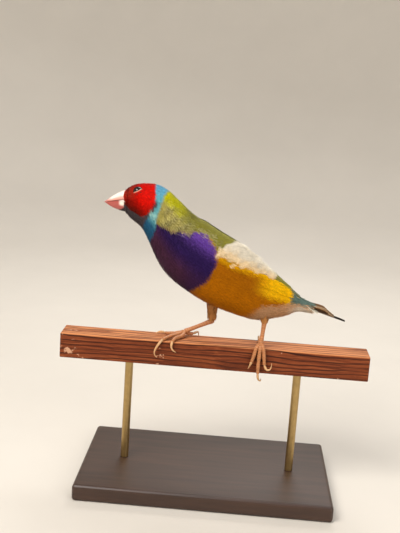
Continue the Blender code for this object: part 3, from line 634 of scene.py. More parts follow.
class Finish:
    """A material in the making, with short ways to lay out its nodes. Each gives the node's output."""

    def __init__(self, name):
        self.material = bpy.data.materials.new(name)
        self.material.use_nodes = True
        self.tree = self.material.node_tree
        self.shader = self.tree.nodes["Principled BSDF"]

    def shade(self, **sockets):
        """Sets or feeds the shader's own sockets, with _ for the spaces in their names."""
        for key, source in sockets.items():
            feed(self.tree, source, self.shader.inputs[key.replace("_", " ")])

    def attribute(self, name, output="Color"):
        return put_node(self.tree, "ShaderNodeAttribute", attribute_name=name).outputs[output]

    def maths(self, operation, *values):
        return put_node(self.tree, "ShaderNodeMath", dict(enumerate(values)), operation=operation).outputs[0]

    def scaled(self, colour, factor):
        links = {0: colour, "Scale": factor}
        return put_node(self.tree, "ShaderNodeVectorMath", links, operation="SCALE").outputs[0]

    def ranged(self, value, low, high, to_low=0.0, to_high=1.0):
        links = {"Value": value, "From Min": low, "From Max": high, "To Min": to_low, "To Max": to_high}
        return put_node(self.tree, "ShaderNodeMapRange", links).outputs[0]

    def mapped(self, vector, scale, rotation=(0.0, 0.0, 0.0)):
        links = {"Vector": vector, "Scale": scale, "Rotation": rotation}
        return put_node(self.tree, "ShaderNodeMapping", links).outputs["Vector"]

    def noise(self, vector, scale, detail, roughness=0.5, output="Fac"):
        links = {"Vector": vector, "Scale": scale, "Detail": detail, "Roughness": roughness}
        return put_node(self.tree, "ShaderNodeTexNoise", links).outputs[output]

    def mixed(self, share, first, second):
        links = {"Factor": share, "A": first, "B": second}
        return put_node(self.tree, "ShaderNodeMix", links, data_type="RGBA").outputs["Result"]

    def tinted(self, colour, scale, amount, stretch=(1.0, 1.0, 1.0)):
        """Places the shared tint group and gives its colour and height outputs."""
        if not isinstance(colour, bpy.types.NodeSocket):
            colour = (*colour[:3], 1.0)
        group = put_node(self.tree, "ShaderNodeGroup", node_tree=variation_group())
        for key, source in {"Colour": colour, "Scale": scale, "Amount": amount, "Stretch": stretch}.items():
            feed(self.tree, source, group.inputs[key])
        return group.outputs["Colour"], group.outputs["Height"]

    def bumped(self, height, strength, distance):
        links = {"Strength": strength, "Distance": distance, "Height": height}
        self.shade(Normal=put_node(self.tree, "ShaderNodeBump", links).outputs["Normal"])


def variation_group():
    """Uneven tint: a colour made lighter and darker in soft patches and fine grains, made once and shared."""
    if "Tint Variation" in bpy.data.node_groups:
        return bpy.data.node_groups["Tint Variation"]
    tree = bpy.data.node_groups.new("Tint Variation", "ShaderNodeTree")
    for socket, kind, default in (
        ("Colour", "NodeSocketColor", (0.5, 0.5, 0.5, 1.0)),
        ("Scale", "NodeSocketFloat", 300.0),
        ("Amount", "NodeSocketFloat", 0.2),
        ("Stretch", "NodeSocketVector", (1.0, 1.0, 1.0)),
    ):
        tree.interface.new_socket(socket, in_out="INPUT", socket_type=kind).default_value = default
    for socket, kind in (("Colour", "NodeSocketColor"), ("Height", "NodeSocketFloat")):
        tree.interface.new_socket(socket, in_out="OUTPUT", socket_type=kind)
    start, end = tree.nodes.new("NodeGroupInput"), tree.nodes.new("NodeGroupOutput")
    where = put_node(tree, "ShaderNodeTexCoord").outputs["Object"]
    stretched = put_node(
        tree, "ShaderNodeVectorMath", {0: where, 1: start.outputs["Stretch"]}, operation="MULTIPLY"
    )
    noise = put_node(
        tree,
        "ShaderNodeTexNoise",
        {"Vector": stretched.outputs[0], "Scale": start.outputs["Scale"], "Detail": 5.0, "Roughness": 0.6},
    )
    swing = put_node(
        tree,
        "ShaderNodeMapRange",
        {"Value": noise.outputs["Fac"], "From Min": 0.3, "From Max": 0.7, "To Min": -1.0, "To Max": 1.0},
    )
    strength = put_node(
        tree,
        "ShaderNodeMath",
        {0: swing.outputs["Result"], 1: start.outputs["Amount"], 2: 1.0},
        operation="MULTIPLY_ADD",
    )
    varied = put_node(
        tree,
        "ShaderNodeVectorMath",
        {0: start.outputs["Colour"], "Scale": strength.outputs[0]},
        operation="SCALE",
    )
    feed(tree, varied.outputs[0], end.inputs["Colour"])
    feed(tree, noise.outputs["Fac"], end.inputs["Height"])
    return tree


def plumage_material(name, roughness, sheen, amount=0.12):
    """The colours of the points with a fine grain, hardly any gloss and a soft sheen."""
    finish = Finish(name)
    tint, height = finish.tinted(finish.attribute("plumage"), 900.0, amount)
    finish.shade(Base_Color=tint, Roughness=roughness, Specular_IOR_Level=0.05)
    finish.shade(Sheen_Weight=sheen, Sheen_Roughness=0.45)
    finish.bumped(height, 0.25, 0.1 * MM)
    return finish.material


def plain_material(name, colour, scale, amount, roughness, strength, stretch=(1.0, 1.0, 1.0), metallic=0.0):
    """One colour with an uneven tint and a bump of that strength."""
    finish = Finish(name)
    tint, height = finish.tinted(colour, scale, amount, stretch)
    finish.shade(Base_Color=tint, Roughness=roughness, Metallic=metallic)
    finish.bumped(height, strength, 0.15 * MM)
    return finish.material


def skin_depth(place):
    """How far the skin lies under the coat's surface."""
    full = bpy.context.scene.finch_sizes.coat_depth / MM
    return np.interp(place, (0.0, 3.5, 6.0, 14.0, SKIN_END), (0.3, 0.45, full, full, 0.6))


def eye_seat(side):
    """The middle of the eye on the head's surface, the normal there and the lid's long and short ways."""
    angles = np.arange(0.1, 1.6, 0.005)
    heights = bare_form(np.full(len(angles), EYE_STATION), angles)[:, 2]
    angle = float(angles[np.argmax(heights <= EYE_HEIGHT)])
    spot = Vector(bare_form(EYE_STATION, side * angle))
    normal = Vector(outward(bare_form, np.array(EYE_STATION), np.array(side * angle)))
    back = Vector((1.0, 0.0, 0.0))
    back = (back - normal * back.dot(normal)).normalized()
    up = normal.cross(back) * side
    if up.z < 0:
        up = -up
    tilt = math.radians(EYE_TILT)
    long_way = back * math.cos(tilt) + up * math.sin(tilt)
    short_way = up * math.cos(tilt) - back * math.sin(tilt)
    return spot, normal, long_way, short_way


def clear_of_eyes(place, angle):
    """Drops feather roots that would stand on an eye or its bare ring."""
    reach = EYE_CLEARANCE
    points = bare_form(place, angle)
    keep = np.ones(len(points), bool)
    for side in SIDES.values():
        spot, _, long_way, short_way = eye_seat(side)
        offset = points - np.array(spot)
        along = offset @ np.array(long_way) / (reach + 0.55)
        over = offset @ np.array(short_way)
        over = over / np.where(over > 0, reach, reach - 0.15)
        near = np.linalg.norm(offset, axis=1) < 2 * reach
        keep &= ~((along**2 + over**2 < 1.0) & near)
    return kept(keep, place, angle)


class FINCH_OT_skin(bpy.types.Operator):
    """One skin over head, neck, body and thighs, under the coat and with its markings"""

    bl_idname = "finch.skin"
    bl_label = "Skin"

    def execute(self, context):
        bm = bmesh.new()
        turn = np.linspace(0, 2 * math.pi, 96, endpoint=False)
        rings = []
        for place in np.linspace(0.0, SKIN_END, 170):
            depth = np.full(len(turn), -skin_depth(place))
            rings.append(to_model(raised(bare_form, np.full(len(turn), place), turn, depth)))
        sweep(bm, rings)
        for leg in LEGS.values():
            hip, heel = np.array(leg["hip"]), np.array(leg["heel"])
            shares = np.linspace(-0.35, 0.99, 12)
            girths = np.interp((0, 0, 0.3, 0.75, 1), (0, 1), leg["radii"])
            radii = np.interp(shares, (-0.35, 0.0, 0.35, 0.7, 0.97), girths) - 0.3
            tube(bm, [hip + (heel - hip) * share for share in shares], radii, 20)
        rough = bpy.data.objects.new("skin_rough", to_mesh("skin_rough", bm))
        context.scene.collection.objects.link(rough)
        remesh = rough.modifiers.new("Remesh", "REMESH")
        remesh.mode, remesh.voxel_size = "VOXEL", 0.42 * MM
        smooth = rough.modifiers.new("Smooth", "SMOOTH")
        smooth.factor, smooth.iterations = 0.5, 6
        graph = context.evaluated_depsgraph_get()
        skin = bpy.data.meshes.new_from_object(rough.evaluated_get(graph))
        bpy.data.objects.remove(rough)
        skin.name = "skin"
        skin.polygons.foreach_set("use_smooth", np.ones(len(skin.polygons), bool))
        places, angles = np.meshgrid(np.linspace(0, SKIN_END, 320), np.linspace(-math.pi, math.pi, 260))
        places, angles = places.ravel(), angles.ravel()
        tree = search_tree(to_model(bare_form(places, angles)))
        nearest = np.array([tree.find(vert.co)[1] for vert in skin.vertices])
        places, angles = places[nearest], angles[nearest]
        colours = markings(places, angles)
        points = np.empty(len(skin.vertices) * 3)
        skin.vertices.foreach_get("co", points)
        points = points.reshape(-1, 3) / MM - (0.0, 0.0, PERCH_TOP)
        on_thigh = np.linalg.norm(points - bare_form(places, angles), axis=1) > 1.6
        # Painted shade: the skin's colours darkened where it lies deep under the coat.
        colours[on_thigh] = palette("tan")[0] * 0.8
        set_colours(skin, colours * 0.8)
        material = plumage_material("Skin under the coat", 0.7, 0.1)
        covered = ("head", "neck", "torso", "thigh_left", "thigh_right")
        linked("skin", skin, material, covered)
        return {"FINISHED"}


def add_coat(name, roots, look, slot_name, seed):
    """Makes a coat piece. Where its look has over, from 0 to 1, the feathers stand higher over the skin."""
    place, angle = roots
    if len(place) == 0:
        raise RuntimeError(f"no feathers on {name}")
    root = skin_depth(place) + ROOT_COVER - LIFTED_ROOT * look.get("over", 0.0)
    look = {"paint": markings, "root": root, "ribbon": 0.2, "turn": 0.0, **look}
    mesh = feather_coat(name, place, angle, look, seed)
    finish = "Plumage " + slot_name.split("_")[0]
    material = bpy.data.materials.get(finish) or plumage_material(finish, 0.6, 0.02)
    linked(name, mesh, material)


def crowd(spacing):
    """The spacing of feather roots, in millimetres, at the crowding set in the panel."""
    return spacing / bpy.context.scene.finch_sizes.crowding


def bill_root(place, angle):
    """The head's front carried forward over the bill's base; place is in millimetres behind the face."""
    ahead = np.maximum(-place, 0.0)[..., None]
    ring = bare_form(np.maximum(place, 0.0) / FACE_STATION, angle)
    nothing = 0 * ring[..., 0]
    heart = np.stack([ring[..., 0], nothing, nothing + 67.0], -1)
    low = (1.0 - np.cos(angle))[..., None] / 2
    return heart + (ring - heart) * (1.0 - ahead / (10.5 + 8.0 * low)) + ahead * (-1.0, 0.0, -0.16)


class FINCH_OT_head_coat(bpy.types.Operator):
    """The mask, crown, throat and collar in very small close feathers"""

    bl_idname = "finch.head_coat"
    bl_label = "Head coat"

    def execute(self, context):
        roots = clear_of_eyes(*spots(0.12, 2.3, crowd(0.5), 11))
        size = np.interp(roots[0], (0.1, 2.3), (0.9, 1.5))
        close = {"barbs": 8, "lift": 0.02, "ruffle": 0.05, "ribbon": 0.1}
        face = {**close, "length": size, "width": size * 0.5}
        add_coat("coat_face", roots, face, "red_feather", 12)
        rng = np.random.default_rng(15)
        angle = rng.uniform(-math.pi, math.pi, 2600)
        place = rng.uniform(-4.4, 0.4, 2600)
        degrees = np.degrees(np.abs(angle))
        reach = np.interp(degrees, (0, 60, 90, 125, 150, 180), (1.5, 1.3, 0.8, 0.6, 2.4, 4.1))
        brow = {
            **close, "surface": bill_root, "length": 1.1, "width": 0.5, "root": 0.3, "lift": 0.1,
            "carry": 0.0, "paint": lambda p, a: markings(np.maximum(p, 0.0) / FACE_STATION, a),
        }
        add_coat("coat_brow", kept(-place < reach, place, angle), brow, "red_feather", 16)
        place, angle = clear_of_eyes(*spots(2.3, 4.35, crowd(0.6), 13))
        degrees = np.degrees(angle)
        size = np.interp(place, (2.3, 4.3), (1.5, 2.4))
        strand = past(degrees, 82, 8) * (1 - past(degrees, 98, 8)) * past(place, 3.4, 0.2)
        strand = strand * (1 - past(place, 4.0, 0.2)) * (np.sin(place * 37 + angle * 61) > 0.15)
        crown = {
            "length": size, "width": size * 0.5, "barbs": 10, "lift": 0.04 + 0.2 * strand,
            "turn": 10 * strand, "ruffle": 0.07, "ribbon": 0.11,
            "pale": paint(196, 224, 204), "edge": 0.65 * strand,
        }
        add_coat("coat_crown", (place, angle), crown, "red_feather", 14)
        return {"FINISHED"}


class FINCH_OT_neck_coat(bpy.types.Operator):
    """Nape, neck and mantle, with the tousled feathers at the neck's side"""

    bl_idname = "finch.neck_coat"
    bl_label = "Neck and mantle"

    def execute(self, context):
        rng = np.random.default_rng(20)
        place, angle = spots(4.25, 6.6, crowd(0.85), 21)
        degrees = np.degrees(np.abs(angle))
        on_green = 1 - past(degrees, border(SIDE_TOP_LEFT, place) - 2, 6)
        tousled = past(degrees, 32, 20) * on_green * past(place, 4.3, 0.3) * (1 - past(place, 6.4, 0.6))
        size = np.interp(place, (4.2, 6.6), (2.6, 3.8))
        # Painted light and shade on the tousled neck: waves of dark furrows and light ridges, multiplied into
        # the colours below.
        ripple = np.sin(place * 11 + degrees / 5 + 1.2) + 0.5 * np.sin(place * 5 - degrees / 3)
        stray = rng.normal(0, 5, len(place))
        neck = {
            "vaned": True, "length": size, "width": size * 0.5, "barbs": 17, "lift": 0.08 + 0.25 * tousled,
            "turn": tousled * (22 * np.sin(place * 11 + degrees / 5) + stray),
            "ruffle": 0.08 + 0.24 * tousled,
            "pale": paint(206, 200, 150), "edge": 0.5 * tousled, "ribbon": 0.145, "mottle": 0.12,
            "paint": lambda p, a: markings(p, a) * (1 + 0.26 * tousled * ripple)[:, None],
        }
        add_coat("coat_neck", (place, angle), neck, "green_feather", 22)
        place, angle = spots(6.4, 13.4, crowd(0.9), 23, 0, 66)
        degrees = np.degrees(np.abs(angle))
        rear_edge = np.where(angle > 0, 8.7, 8.0)
        on_back = degrees < np.degrees(wing_upper(place)) + 1.5
        above_breast = (place < rear_edge) & (degrees < border(SIDE_TOP_LEFT, place) - 1)
        place, angle, degrees = kept(on_back | above_breast, place, angle, degrees)
        over = past(place, 6.5, 0.5) * (0.55 + 0.45 * past(degrees, 8.0, 6.0))
        wisp = past(degrees - border(SIDE_TOP_LEFT, place), -15.0, 8.0)
        mantle = {
            "vaned": True, "length": 4.0, "width": 2.2, "barbs": 19, "lift": 0.12 + 0.62 * over, "over": over,
            "ruffle": 0.08, "ribbon": 0.145, "pale": paint(222, 212, 176),
            "edge": 0.6 * wisp * (1 - past(place, 8.0, 0.8)) * (rng.uniform(0, 1, len(place)) > 0.35),
        }
        add_coat("coat_mantle", (place, angle), mantle, "green_feather", 24)
        return {"FINISHED"}


class FINCH_OT_breast_coat(bpy.types.Operator):
    """The silky violet breast"""

    bl_idname = "finch.breast_coat"
    bl_label = "Breast"

    def execute(self, context):
        place, angle = spots(6.4, 8.6, crowd(0.8), 31, 36, 180)
        below_green = np.degrees(np.abs(angle)) > border(SIDE_TOP_LEFT, place) - 1
        place, angle = kept(below_green, place, angle)
        off_wing = np.degrees(np.abs(angle)) - np.degrees(wing_lower(place))
        over = (1 - past(off_wing, 6.0, 8.0)) * past(place, 6.5, 0.5)
        look = {
            "vaned": True, "length": 3.4, "width": 1.9, "barbs": 19, "lift": 0.05 + 0.6 * over, "over": over,
            "ruffle": 0.05, "ribbon": 0.135, "mottle": 0.07,
        }
        add_coat("coat_breast", (place, angle), look, "breast_feather", 32)
        return {"FINISHED"}


class FINCH_OT_belly_coat(bpy.types.Operator):
    """The orange and yellow belly, the vent and the rump"""

    bl_idname = "finch.belly_coat"
    bl_label = "Belly"

    def execute(self, context):
        stretches = (("coat_belly_front", 8.35, 11.2, 41), ("coat_belly_rear", 11.1, 13.95, 43))
        for name, start, end, seed in stretches:
            place, angle = spots(start, end, crowd(0.85), seed, 24, 180)
            degrees, wing_edge = np.degrees(np.abs(angle)), np.degrees(wing_lower(place))
            top = np.where(angle > 0, border(SIDE_TOP_LEFT, place) - 2, wing_edge - 3)
            place, angle, off_wing = kept(degrees > top, place, angle, degrees - wing_edge)
            over = 1 - past(off_wing, 5.0, 8.0)
            look = {
                "vaned": True, "length": 4.3, "width": 2.3, "barbs": 18, "lift": 0.08 + 0.75 * over,
                "over": over, "ruffle": 0.07, "ribbon": 0.15, "mottle": 0.07,
            }
            add_coat(name, (place, angle), look, "pale_feather", seed + 1)
        rump = {
            "vaned": True, "length": 3.8, "width": 2.2, "barbs": 17, "lift": 0.22,
            "ruffle": 0.12, "ribbon": 0.14,
        }
        add_coat("coat_rump", spots(13.6, 15.45, crowd(0.85), 45), rump, "tail_feather", 46)
        return {"FINISHED"}


class FINCH_OT_flank_plumes(bpy.types.Operator):
    """Loose white down of the flanks, fluffed up over the folded wing"""

    bl_idname = "finch.flank_plumes"
    bl_label = "Flank plumes"

    def execute(self, context):
        length = context.scene.finch_sizes.plume_length / MM
        white, yellow = palette("white", "yellow")
        cream = blend(white, yellow, 0.35)
        rng = np.random.default_rng(50)
        place, angle = spots(8.1, 11.9, crowd(0.7), 51, 0, 64)
        degrees = np.degrees(angle)
        lower = np.interp(place, (8.1, 8.8, 9.5, 10.5, 11.9), (56, 57, 52, 44, 29))
        lower = lower + rng.normal(0, 3, len(place))
        upper = np.interp(place, (8.1, 8.5, 8.9, 10.0, 10.6, 11.2, 11.9), (48, 34, 0, -3, 7, 17, 25))
        upper = upper + rng.normal(0, 3, len(place))
        within = (degrees > upper) & (degrees < lower)
        place, angle, degrees, lower = kept(within, place, angle, degrees, lower)

        def down(p, a):
            return blend(white, cream, past(np.degrees(a), np.interp(p, (8.4, 9.5, 11.9), (46, 43, 24)), 14))

        look = {
            "length": length * np.where(degrees > lower - 8, 0.5, 0.75), "width": 3.0, "barbs": 22,
            "lift": np.interp(degrees, (0, 20, 50), (0.7, 1.3, 0.9)), "turn": rng.normal(-14, 12, len(place)),
            "paint": down, "ruffle": 0.45, "mottle": 0.05, "ribbon": 0.1, "root": -0.2, "depth_shade": 0.5,
        }
        add_coat("flank_plumes_left", (place, angle), look, "pale_feather", 52)
        return {"FINISHED"}


# Joints of each leg, and the thigh's radius at hip and heel
LEGS = {
    "left": {
        "hip": (22.9, -5.2, 20.0), "heel": (23.4, -5.4, 13.2), "foot": (22.5, -6.6, 2.3), "radii": (3.0, 1.5),
    },
    "right": {
        "hip": (-2.9, 5.2, 24.0), "heel": (-2.4, 5.2, 8.6), "foot": (-15.6, 3.4, 2.6), "radii": (3.1, 1.9),
    },
}
# Joints of each toe, then the points of its claw
TOES = {
    "left": {
        "inner": (
            [(20.6, -8.6, 0.9), (19.6, -9.0, -3.0), (18.6, -9.0, -6.6)],
            [(18.0, -9.1, -8.2), (17.2, -8.7, -10.2)],
        ),
        "middle": (
            [(22.3, -8.9, 0.5), (22.1, -9.2, -4.0), (22.0, -9.2, -8.5), (22.1, -9.0, -12.4)],
            [(22.5, -8.4, -15.0), (23.6, -7.2, -16.4), (24.0, -6.0, -15.6)],
        ),
        "outer": (
            [(23.8, -8.6, 0.7), (24.5, -9.0, -3.6), (25.0, -9.1, -7.6)],
            [(26.3, -9.3, -9.8), (28.0, -9.4, -9.2), (28.5, -9.2, -6.4)],
        ),
        "hallux": (
            [(22.5, -3.6, 1.9), (22.2, -0.4, 1.4), (21.9, 2.8, 1.5)],
            [(21.7, 5.6, 2.2), (21.5, 8.2, 1.2), (21.5, 8.9, -1.2)],
        ),
    },
    "right": {
        "inner": (
            [(-16.4, -0.6, 1.45), (-19.0, -4.6, 1.35), (-20.6, -8.4, 0.5)],
            [(-20.9, -9.1, -2.0), (-19.9, -9.2, -3.9), (-18.4, -8.9, -4.8)],
        ),
        "middle": (
            [(-18.4, 1.0, 1.7), (-22.0, -2.6, 1.35), (-25.4, -7.6, 0.9)],
            [(-28.0, -9.3, -2.6), (-29.0, -9.3, -6.0), (-27.8, -8.9, -8.1)],
        ),
        "outer": (
            [(-18.8, 3.2, 1.7), (-22.0, 3.2, 1.25), (-25.4, 3.2, 1.15)],
            [(-27.2, 3.0, 1.7), (-28.8, 2.6, 1.4), (-29.7, 2.3, 0.6)],
        ),
        "hallux": (
            [(-13.8, 4.6, 1.5), (-11.2, 5.4, 1.3)],
            [(-9.6, 6.4, 1.9), (-8.8, 7.9, 1.3), (-8.6, 8.7, -0.7)],
        ),
    },
}


def scaled_tube(bm, points, radii, pitch):
    """A rounded limb with a step at each scale; how far each point lies along it goes into a layer."""
    points, radii = np.asarray(points, float), np.asarray(radii, float)
    travel = np.concatenate([[0.0], np.cumsum(np.linalg.norm(np.diff(points, axis=0), axis=1))])
    fine = np.linspace(0.0, travel[-1], int(travel[-1] / 0.14) + 2)
    line = np.stack([np.interp(fine, travel, points[:, axis]) for axis in range(3)], 1)
    width = np.interp(fine, travel, radii)
    for _ in range(6):
        for values in (line, width):
            values[1:-1] = (values[:-2] + 2 * values[1:-1] + values[2:]) / 4
    phase = fine / pitch + 0.16 * np.sin(fine * 1.7 + 9.0 * radii[0])
    width = width * (1.0 + 0.045 * (np.mod(phase, 1.0) - 0.5))
    to_end = np.minimum(fine, fine[-1] - fine)
    width = width * np.sqrt(np.clip(to_end / 0.5 * (2.0 - np.minimum(to_end, 0.5) / 0.5), 0.05, 1.0))
    layer = bm.verts.layers.float.get("scute") or bm.verts.layers.float.new("scute")
    rows = tube(bm, line, width, 18)
    for row, turns in zip(rows, phase):
        for vert in row:
            vert[layer] = turns


def scale_material(name, colour):
    """Horny scales in overlapping bands, with a fine grain, darker at each band's start, partly painted
    shade, and a painted highlight on each band's crest.
    """
    finish = Finish(name)
    band = finish.maths("FRACT", finish.attribute("scute", "Fac"))
    tint, height = finish.tinted(colour, 900.0, 0.16)
    # Darker at the start of each band: the join between scales together with painted shade under the edge of
    # the scale before.
    shade = finish.mixed(finish.ranged(band, 0.0, 0.22), finish.scaled(tint, 0.66), tint)
    # Painted highlight: the pale crest of each scale band.
    painted_crest_light = finish.maths("MULTIPLY", finish.ranged(band, 0.55, 1.0), 0.22)
    shade = finish.mixed(painted_crest_light, shade, (*paint(236, 200, 162), 1.0))
    finish.shade(Base_Color=shade, Roughness=0.45, Specular_IOR_Level=0.35)
    finish.bumped(height, 0.3, 0.12 * MM)
    return finish.material


def thigh_surface(leg):
    """The thigh as a surface of its own: place runs from hip to heel, angle round it."""
    hip, heel = np.array(leg["hip"]), np.array(leg["heel"])
    down = unit(heel - hip)
    side = unit(np.cross(down, (1.0, 0.0, 0.0)))
    ahead = np.cross(side, down)
    girths = np.interp((0, 0, 0.25, 0.7, 1), (0, 1), leg["radii"])

    def at(place, angle):
        radius = np.interp(place, (-0.4, 0.0, 0.35, 0.7, 1.1), girths)
        ring = np.cos(angle)[..., None] * side + np.sin(angle)[..., None] * ahead
        return hip + (heel - hip) * np.asarray(place)[..., None] + ring * radius[..., None]

    return at


class FINCH_OT_thighs(bpy.types.Operator):
    """Short pale feathers of the thighs"""

    bl_idname = "finch.thighs"
    bl_label = "Thighs"

    def execute(self, context):
        (tan,) = palette("tan")
        for number, (side, leg) in enumerate(LEGS.items()):
            rng = np.random.default_rng(60 + number)
            span = np.linalg.norm(np.array(leg["heel"]) - np.array(leg["hip"]))
            count = int(span * 14 / 0.36)
            place, angle = rng.uniform(-0.25, 0.9, count), rng.uniform(-math.pi, math.pi, count)
            look = {
                "surface": thigh_surface(leg), "length": np.interp(place, (0, 0.9), (2.6, 1.6)), "width": 1.0,
                "barbs": 10, "lift": 0.0, "ruffle": 0.04, "ribbon": 0.12, "root": 0.3, "depth_shade": 0.25,
                "mottle": 0.05, "paint": lambda p, a: np.broadcast_to(tan, (len(p), 3)),
            }
            add_coat(f"coat_thigh_{side}", (place, angle), look, "pale_feather", 62 + number)
        return {"FINISHED"}


class FINCH_OT_legs(bpy.types.Operator):
    """Scaled shanks and toes, and the claws"""

    bl_idname = "finch.legs"
    bl_label = "Legs and feet"

    def execute(self, context):
        colours = context.scene.finch_colours
        scales = scale_material("Leg scales", colours.leg)
        horn = plain_material("Claw horn", colours.claw, 500.0, 0.12, 0.35, 0.1)
        shank_shares = np.array((-0.09, 0.0, 0.12, 0.5, 0.85, 1.0))
        shank_radii = (0.9, 1.42, 1.2, 0.98, 1.1, 1.35)
        for side, leg in LEGS.items():
            heel, foot = np.array(leg["heel"]), np.array(leg["foot"])
            bm, claws = bmesh.new(), bmesh.new()
            scaled_tube(bm, [heel + (foot - heel) * share for share in shank_shares], shank_radii, 1.25)
            for joints, claw in TOES[side].values():
                line = smooth_path([tuple(foot)] + joints, 4)
                knuckle = 1.0 + 0.09 * np.cos(np.linspace(0, 2 * math.pi * len(joints), len(line)))
                scaled_tube(bm, line, np.linspace(1.04, 0.78, len(line)) * knuckle, 0.85)
                hook = smooth_path([joints[-1]] + claw, 8)
                hook_radii = np.interp(np.linspace(0, 1, len(hook)), (0, 0.15, 1), (0.5, 0.64, 0.13))
                tube(claws, hook, hook_radii, 12)
            nodes = (f"shank_{side}", f"foot_{side}")
            linked(f"leg_{side}", to_mesh(f"leg_{side}", bm), scales, nodes)
            linked(f"claws_{side}", to_mesh(f"claws_{side}", claws), horn)
        return {"FINISHED"}


def bill_ring(share, upper):
    """One section of a mandible, from the face at share 0 to the tip at 1."""
    way = 1.0 if upper else -1.0
    swell = math.sin(math.pi * share)
    start = BILL_FACE_TOP if upper else BILL_FACE_BOTTOM
    tip = np.array((BILL_TIP[0], 0.0, BILL_TIP[1]))
    ridge = np.array((start[0], 0.0, start[1]))
    ridge = ridge + (tip - ridge) * share
    ridge[2] += (0.7 if upper else -0.9) * swell
    line = np.array((GAPE[0], 0.0, GAPE[1]))
    line = line + (tip - line) * share
    line[2] += 0.25 * swell + 0.03 * way
    width = (4.1 - 0.35 * max(0.0, 0.12 - share) / 0.12) * (1.0 - share) ** 0.92 + 0.12
    if not upper:
        ridge[0] += 0.5 * share
        line[0] += 0.5 * share
        width -= 0.12 * share
    height = ridge - line
    if np.linalg.norm(height) < 0.14:
        height = np.array((0.0, 0.0, 0.14 * way))
    turn = np.linspace(0, math.pi, 29)
    ring = line + height * (np.sin(turn) ** 0.9)[:, None]
    ring[:, 1] += width * np.sign(np.cos(turn)) * np.abs(np.cos(turn)) ** 0.8
    return to_model(ring)


def bill_colours(mesh, upper):
    """Ivory at the base, salmon over the mouth, coral at the tip and below, and a dark mouth line."""
    ivory, salmon, coral = palette("ivory", "salmon", "coral")
    points = np.array([vert.co for vert in mesh.vertices]) / MM
    share = np.clip((GAPE[0] - points[:, 0]) / (GAPE[0] - BILL_TIP[0]), 0, 1)
    mouth = GAPE[1] + (BILL_TIP[1] - GAPE[1]) * share + 0.25 * np.sin(math.pi * share)
    away = (points[:, 2] - PERCH_TOP - mouth) / (4.8 * (1 - share) + 0.4) * (1 if upper else -1.25)
    if upper:
        shade = blend(salmon, ivory, past(away, 0.42, 0.5))
        shade = blend(shade, coral * 1.15, past(share, 0.78, 0.4))
    else:
        shade = blend(coral, ivory, (1 - past(share, 0.24, 0.16)) * (1 - past(away, 0.75, 0.3)))
    return shade * (1.0 - 0.45 * (1 - past(np.abs(away), 0.05, 0.08)))[:, None]


def bill_material(name):
    """Smooth, slightly clear horn with faint streaks."""
    finish = Finish(name)
    tint, height = finish.tinted(finish.attribute("plumage"), 260.0, 0.07, (0.5, 1.0, 1.6))
    finish.shade(Base_Color=tint, Roughness=0.28, Coat_Weight=0.2)
    finish.shade(Subsurface_Weight=0.2, Subsurface_Radius=(0.0015, 0.0008, 0.0006))
    finish.bumped(height, 0.12, 0.1 * MM)
    return finish.material


class FINCH_OT_bill(bpy.types.Operator):
    """The stout bill, ivory at its base and coral at the tip"""

    bl_idname = "finch.bill"
    bl_label = "Bill"

    def execute(self, context):
        for name, upper in (("bill_upper", True), ("bill_lower", False)):
            bm = bmesh.new()
            sweep(bm, [bill_ring(share, upper) for share in np.linspace(-0.03, 1.0, 34)])
            mesh = to_mesh(name, bm)
            set_colours(mesh, bill_colours(mesh, upper))
            material = bill_material("Bill horn " + name.split("_")[1])
            linked(f"{name}_horn", mesh, material, (name,))
        return {"FINISHED"}


def lid_ring(scale, height, turn, seat):
    """One almond-shaped ring of an eyelid: so wide for the opening, and so high over the eyeball."""
    centre, normal, long_way, short_way = (np.array(vector) for vector in seat)
    almond = 1.0 - 0.12 * np.abs(np.sin(turn)) ** 1.5
    a = LID_OPENING[0] * almond * np.cos(turn) * scale
    wide = LID_OPENING[1] * (1.0 - 0.25 * np.cos(turn) ** 4)
    b = wide * np.sin(turn) * (scale + 0.5 * max(scale - 1.0, 0.0) + 0.1 * (scale > 1.0))
    out = np.sqrt(np.maximum(EYE_RADIUS**2 - a**2 - b**2, 0.05)) + height
    return to_model(centre + np.outer(a, long_way) + np.outer(b, short_way) + np.outer(out, normal))


class FINCH_OT_eyes(bpy.types.Operator):
    """Dark glossy eyes and the pale lids round them"""

    bl_idname = "finch.eyes"
    bl_label = "Eyes"

    def execute(self, context):
        eye = Finish("Eye")
        tint, _ = eye.tinted(paint(20, 12, 9), 1500.0, 0.4)
        eye.shade(Base_Color=tint, Roughness=0.08, Specular_IOR_Level=0.5)
        lid_material = plumage_material("Eyelid", 0.6, 0.0, 0.2)
        crimson = blend(*palette("crimson", "scarlet"), 0.6)
        turn = np.linspace(0, 2 * math.pi, 56, endpoint=False)
        profile = (
            (0.97, 0.0), (0.98, 0.08), (1.02, 0.15), (1.09, 0.17), (1.17, 0.14), (1.3, 0.1), (1.55, 0.07),
            (1.8, 0.0), (1.95, -0.5),
        )
        for side_name, side in SIDES.items():
            spot, normal, long_way, short_way = eye_seat(side)
            centre = spot - normal * EYE_SUNK
            bm = bmesh.new()
            bmesh.ops.create_uvsphere(bm, u_segments=40, v_segments=24, radius=EYE_RADIUS * MM)
            bmesh.ops.translate(bm, verts=bm.verts, vec=Vector(to_model(centre)))
            name = f"eyeball_{side_name}"
            linked(name, to_mesh(name, bm), eye.material, (f"eye_{side_name}",))
            bm = bmesh.new()
            seat = (centre, normal, long_way, short_way)
            sweep(bm, [lid_ring(scale, height, turn, seat) for scale, height in profile], caps=False)
            name = f"lid_{side_name}"
            mesh = to_mesh(name, bm)
            row = np.arange(len(mesh.vertices)) // len(turn)
            offsets = np.array([vert.co for vert in mesh.vertices]) - to_model(np.array(centre))
            lower = 1.0 - past(offsets @ np.array(short_way) / MM, -0.25, 0.7)
            rim = blend(paint(60, 22, 18), paint(206, 140, 120), lower)
            set_colours(mesh, blend(rim, crimson, past(row, 3.6, 1.2)))
            linked(name, mesh, lid_material)
        return {"FINISHED"}


VANE_THICKNESS = 0.16


